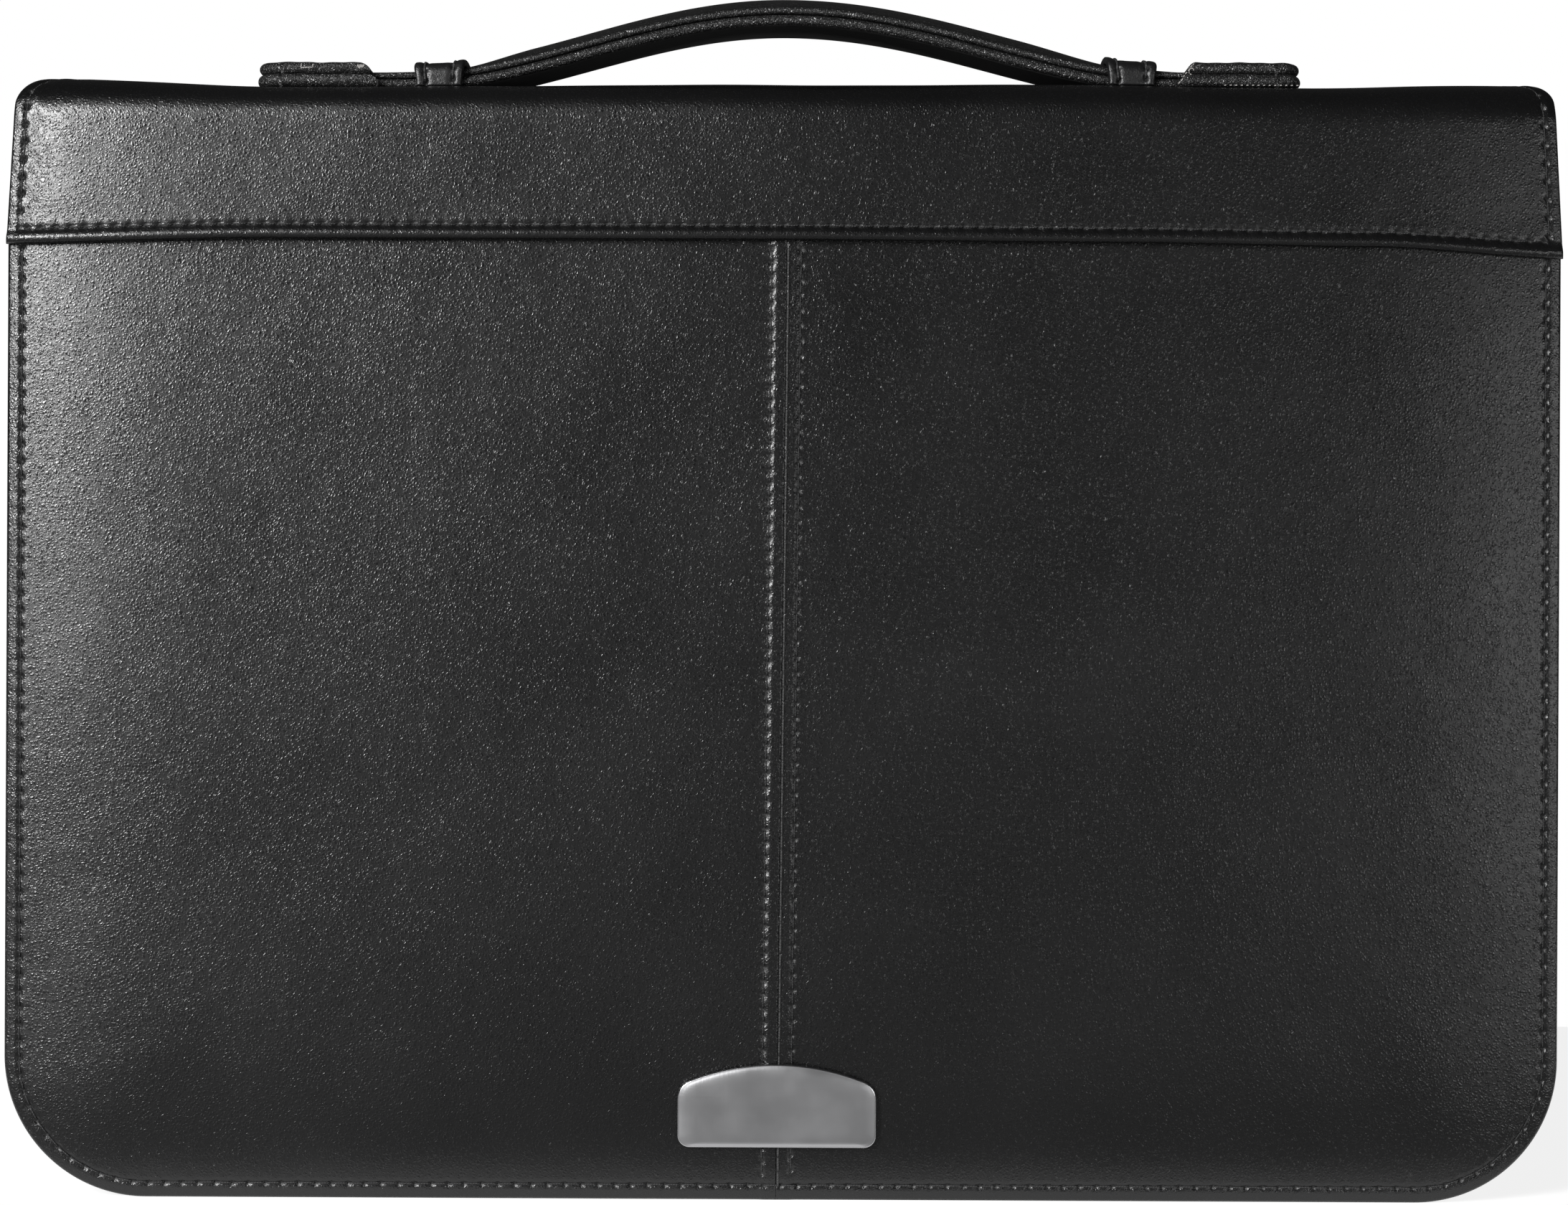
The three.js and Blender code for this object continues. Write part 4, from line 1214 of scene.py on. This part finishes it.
def pad_piece(name, side, base, slope_top, slope_foot, replaced):
    """Rings of one pad from the middle of its base to the middle of its top.

    A ring is a bar with two round outer corners at a height, drawn in by its inset. Each roll's inset is
    r - sqrt(r^2 - (z - middle)^2), and the inner end leans from slope_foot to slope_top.
    """
    rows = []
    for low, high, reach in ((0, pad_joint + 0.05, 0.35), (pad_joint - 0.05, pad_height, 0.0)):
        radius = (high - low) / 2
        for turn in np.linspace(-math.pi / 2, math.pi / 2, 15):
            rows.append((low + radius + radius * math.sin(turn), radius * (1 - math.cos(turn)), reach))
    z = np.array([row[0] for row in rows])
    inset = np.array([row[1] for row in rows])
    reach = np.array([row[2] for row in rows])
    shrink = np.concatenate([[0.02, 0.3, 0.65], np.ones(len(rows)), [0.9, 0.75, 0.5, 0.25, 0.02]])
    pad = ((3, 5),)
    z, inset, reach = (np.pad(values, pad, mode="edge") for values in (z, inset, reach))
    z = z + np.concatenate([np.zeros(len(rows) + 3), [0.12, 0.22, 0.3, 0.34, 0.35]])
    inset, reach, shrink, z = (values[:, None] for values in (inset, reach, shrink, z))
    turn = np.linspace(0, math.pi / 2, 16)[None]
    run = np.linspace(0, 1, 44)[None]
    inner = slope_foot + (slope_top - slope_foot) * np.clip(z / pad_height, 0, 1) + inset
    corner = pad_corner - inset
    outer_centre = pad_outer_x[side] - pad_corner + reach
    half = pad_half_width - inset
    one_side = inner + (outer_centre - inner) * run
    x = [one_side, outer_centre + corner * np.sin(turn)]
    x += [outer_centre + corner * np.cos(turn), one_side[:, ::-1]]
    straight = half - corner
    y = [-half + 0 * run, -straight - corner * np.cos(turn), straight + corner * np.sin(turn), half + 0 * run]
    back = np.linspace(1, -1, 40)[None, 1:-1]
    x = np.concatenate([*x, inner + 0 * back], 1)
    y = np.concatenate([*y, half * back], 1)
    wobble = 0.06 * np.sin(x / 1.9 + 2 * side) + 0.05 * np.sin(x / 0.83 + z)
    middle_x = (slope_foot + pad_outer_x[side]) / 2
    x = side * (middle_x + (x - middle_x) * shrink)
    y = y * shrink
    z = base + z + wobble * (z > 0.4) + 0 * x
    count = x.shape[1]
    points = np.stack([x, y, z], -1)
    girth = running_sum(np.linalg.norm(np.diff(points[10], axis=0), axis=1))
    up = running_sum(np.linalg.norm(np.diff(points[:, 20], axis=0), axis=1))
    rings = len(points)
    points = np.vstack([points.reshape(-1, 3), [[side * middle_x, 0, base], [side * middle_x, 0, z[-1, 0]]]])
    here = np.arange(count)
    there = (here + 1) % count
    first = np.stack([np.full(count, rings * count), there, here], 1)
    last = np.stack([np.full(count, rings * count + 1), here, there], 1)
    last[:, 1:] += (rings - 1) * count
    along = np.append(np.tile(girth, rings), [0, 0])
    around = np.append(np.repeat(up, count), [0, up[-1]])
    wrinkle = np.append(np.repeat(np.where(shrink[:, 0] < 1, 0.3, 0.9), count), [0.3, 0.3])
    finish_piece(
        name, points, [band_quads(rings, count, closed=True), first, last], handle_leather,
        "handle_leather", [replaced], attributes={"along": along, "around": around, "wrinkle": wrinkle}
    )


pad_base_left = box_mm("handle_end_left")[0, 2]
pad_base_right = pad_low[2]
pad_piece("left_pad", -1, pad_base_left, 98.2, 94.0, "handle_end_left")
pad_piece("right_pad", 1, pad_base_right, 94.9, 91.2, "handle_end_right")


def pad_front(base, z):
    """How far to the front a pad stands at z: half width - r + sqrt(r^2 - (z - middle)^2) of its roll."""
    up = z - base
    low = np.where(up < pad_joint, 0, pad_joint - 0.05)
    high = np.where(up < pad_joint, pad_joint + 0.05, pad_height)
    radius = (high - low) / 2
    off = np.clip(up - low - radius, -radius, radius)
    return -(pad_half_width - radius + np.sqrt(radius ** 2 - off ** 2))


def pad_marks(name, base, spots):
    """Short raised stitches and fibres on the front of a pad: each is a start and an end in x and z."""
    spots = np.array(spots)
    starts = np.stack([spots[:, 0], pad_front(base, spots[:, 1]), spots[:, 1]], 1)
    ends = np.stack([spots[:, 2], pad_front(base, spots[:, 3]), spots[:, 3]], 1)
    outward = np.tile(np.array([0.0, -1.0, 0.0]), (len(spots), 1))
    threads(name, starts, ends, outward, fibre, "handle_leather", radius=0.16, rise=0.1, sink=0.2)


fibre = waxed_thread("raw_fibre", (0.3, 0.29, 0.28, 1))
curl_turn = np.linspace(0, 4.6, 9)
curl_x = 95.0 + (0.35 + 0.12 * curl_turn) * np.cos(curl_turn)
curl_z = pad_base_right + 3.7 + (0.35 + 0.12 * curl_turn) * np.sin(curl_turn)
curl = np.stack([curl_x[:-1], curl_z[:-1], curl_x[1:], curl_z[1:]], 1)
foot_x = np.arange(102.5, 120, 1.3)
foot_z = np.full(len(foot_x), pad_base_right)
foot_row = np.stack([foot_x, foot_z + 0.35, foot_x + 0.5, foot_z + 0.45], 1)
fray = np.arange(7)
fray_x, fray_z = 91.8 + 0.55 * fray, pad_base_right + 0.6 + 0.75 * fray
frayed = np.stack(
    [fray_x, fray_z + 0.2 * drift(fray, 2.0), fray_x + 0.5 + 0.2 * drift(fray, 5.0), fray_z + 0.6], 1
)
pad_marks("right_pad_fibres", pad_base_right, np.vstack([curl, foot_row, frayed]))
top_left = pad_base_left + pad_height
rag = np.arange(6)
ragged_x, ragged_z = -98.6 - 0.28 * rag, top_left - 1.5 + 0.3 * drift(rag, 3.0)
ragged = np.stack([ragged_x, ragged_z, ragged_x + 0.2, np.full(6, top_left - 0.6)], 1)
nicks = [(-113.0, top_left - 0.3, -113.2, top_left - 1.6), (-110.3, top_left - 0.5, -110.4, top_left - 1.4)]
nicks.append((-113.0, top_left - 1.5, -110.4, top_left - 1.4))
pad_marks("left_pad_fibres", pad_base_left, np.vstack([ragged, np.array(nicks)]))

# The keepers are short loops of the same leather over the handle, with two rows of stitches each. Both their
# feet are sewn down on the spine.

keeper_thickness = 1.4
keeper_corner = 1.2 + keeper_thickness
keeper_half_depth = strip_width / 2 + seat_gap + keeper_thickness
keeper_leg = 3.4
keeper_bend = keeper_corner * math.pi / 2
keeper_flat = 2 * (keeper_half_depth - keeper_corner)
keeper_length = 2 * (keeper_leg + keeper_bend) + keeper_flat
keeper_stitch_inset = 2.5
keeper_stitch_pitch = 2.9
keeper_seed = 7.7
keeper_cells = (12, 34)


def keeper_piece(name, replaced):
    """A keeper, and the threads of its two rows.

    The sheet's y is the length s along the loop: a leg, a quarter circle, the top, and the same down the
    back. The top is lifted by the strip's crown times (1 - w^2).
    """
    low, high = box_mm(replaced)
    middle = (low[0] + high[0]) / 2
    half = (high[0] - low[0]) / 2

    def place(flat, height):
        """Carries x and s along the loop into space, with the height square to it."""
        x, s = flat[:, 0], flat[:, 1]
        back = s > keeper_length / 2
        s = np.where(back, keeper_length - s, s)
        turn = np.clip((s - keeper_leg) / keeper_corner, 0, math.pi / 2)
        over = np.clip((s - keeper_leg - keeper_bend) / (keeper_flat / 2), 0, 1)
        flare = 0.9 + 0.1 * smooth(s, 0.5, 6.5)
        at = middle + x * flare
        top = strip_base(at) + strip_height * strip_share(at) + seat_gap + keeper_thickness
        foot = case_height - spine_dip(at) + seat_gap
        leg = foot + (top - keeper_corner - foot) * np.clip(s / keeper_leg, 0, 1)
        y = keeper_half_depth - keeper_corner + keeper_corner * np.cos(turn) - over * keeper_flat / 2
        z = leg + keeper_corner * np.sin(turn) + strip_crown(at) * (1 - (1 - over) ** 2)
        y = y + height * np.cos(turn)
        return np.stack([at, np.where(back, y, -y), z + height * np.sin(turn)], 1)

    def relief(x, s):
        """Height and darkness of the loop: a half round roll on each edge, and the stitches beside it."""
        inset = half - np.abs(x)
        roll = 0.42 * np.sqrt(np.clip(1 - ((inset - 1.1) / 1.35) ** 2, 0, 1))
        from_row, along = inset - keeper_stitch_inset, s + np.sign(x)
        height, hole = stitch_relief(from_row, along, keeper_stitch_pitch, keeper_seed, roll=0)
        return roll + 1.3 * height + 0.12 * smooth(inset, 3, 4.4), hole

    leather_sheet(
        name, strip_outline(half, keeper_length, *keeper_cells), *keeper_cells, strip_rim,
        keeper_thickness, relief, place, band=4.2, material=keeper_leather, slot="handle_leather",
        replaced=[replaced]
    )
    rows = []
    for side in (-1, 1):

        def keeper_sheet(hole, slip, side=side):
            """A hole's length along the loop, as x and s beside one edge."""
            return np.stack([side * (half - keeper_stitch_inset - slip), hole - side], 1)

        first = math.ceil((1.0 + side) / keeper_stitch_pitch)
        last = math.floor((keeper_length - 1 + side) / keeper_stitch_pitch)
        rows.append(
            row_of_threads(place, relief, first, last, keeper_stitch_pitch, keeper_seed, keeper_sheet)
        )
    threads(f"{name}_stitches", *joined(rows), cover_thread, "handle_leather", radius=0.3, rise=0.42)


keeper_leather = grained_leather(
    "keeper_leather", (0.008, 0.008, 0.0085, 1), (0.014, 0.014, 0.0145, 1), 0.27, 0.0006, 0.00003, 0.083
)
keeper_piece("left_keeper", "handle_keeper_left")
keeper_piece("right_keeper", "handle_keeper_right")

# The studio: the case stands on a pale floor that glows white under it and behind it. A soft box stands at
# the left with a faint one above it, a wide one lies low at the right, and little light comes from the
# front.

studio = bpy.context.scene
studio.view_settings.view_transform = "Standard"
floor_mesh = bpy.data.meshes.new("floor")
floor_mesh.from_pydata([(-4, -3, 0), (4, -3, 0), (4, 0.32, 0), (-4, 0.32, 0)], [], [(0, 1, 2, 3)])
floor = bpy.data.objects.new("floor", floor_mesh)
studio.collection.objects.link(floor)
floor_paint = bpy.data.materials.new("floor")
nodes = Nodes(floor_paint)
floor_depth = nodes.add("SeparateXYZ", {0: nodes.place()}, "Y")
floor_glow = nodes.spread(floor_depth, 0.04, 0.85, -0.04, -0.026, steps="SMOOTHSTEP")
white = (1, 1, 1, 1)
floor_inputs = {"Base Color": (0.3, 0.3, 0.3, 1), "Roughness": 0.9, "Emission Color": white}
floor_shader = nodes.add("BsdfPrincipled", {**floor_inputs, "Emission Strength": floor_glow})
nodes.add("OutputMaterial", {"Surface": floor_shader})
floor_mesh.materials.append(floor_paint)

world = bpy.data.worlds.new("studio")
studio.world = world
nodes = Nodes(world)
seen = nodes.add("LightPath", {}, "Is Camera Ray")
sky = nodes.add("Background", {"Color": white, "Strength": nodes.spread(seen, 0.04, 1.0)})
nodes.add("OutputWorld", {"Surface": sky})


def soft_light(name, place, target, size, power):
    """A rectangular soft box at a place, turned towards the target."""
    light = bpy.data.lights.new(name, "AREA")
    light.shape = "RECTANGLE"
    light.size, light.size_y = size
    light.energy = power
    lamp = bpy.data.objects.new(name, light)
    studio.collection.objects.link(lamp)
    lamp.location = place
    aim = np.array(target) - np.array(place)
    level = math.hypot(aim[0], aim[1])
    lamp.rotation_euler = (math.pi / 2 + math.atan2(aim[2], level), 0, math.atan2(-aim[0], aim[1]))


soft_light("left_light", (-0.94, -1.31, 0.67), (0, 0, 0.13), (0.31, 0.72), 38)
soft_light("upper_light", (-0.62, -1.27, 1.08), (0, 0, 0.13), (0.6, 0.6), 2)
soft_light("right_light", (1.13, -1.25, -0.05), (0, 0, 0.13), (1.25, 0.7), 13)

camera_data = bpy.data.cameras.new("camera")
camera_data.lens = 79.05
camera_data.sensor_width = 36
camera_data.sensor_fit = "HORIZONTAL"
camera_data.clip_start = 0.05
camera = bpy.data.objects.new("camera", camera_data)
studio.collection.objects.link(camera)
camera.location = (0.00026, -0.817, 0.13885)
camera.rotation_euler = (math.pi / 2, math.radians(-0.28), 0)
studio.camera = camera

bpy.context.view_layer.update()
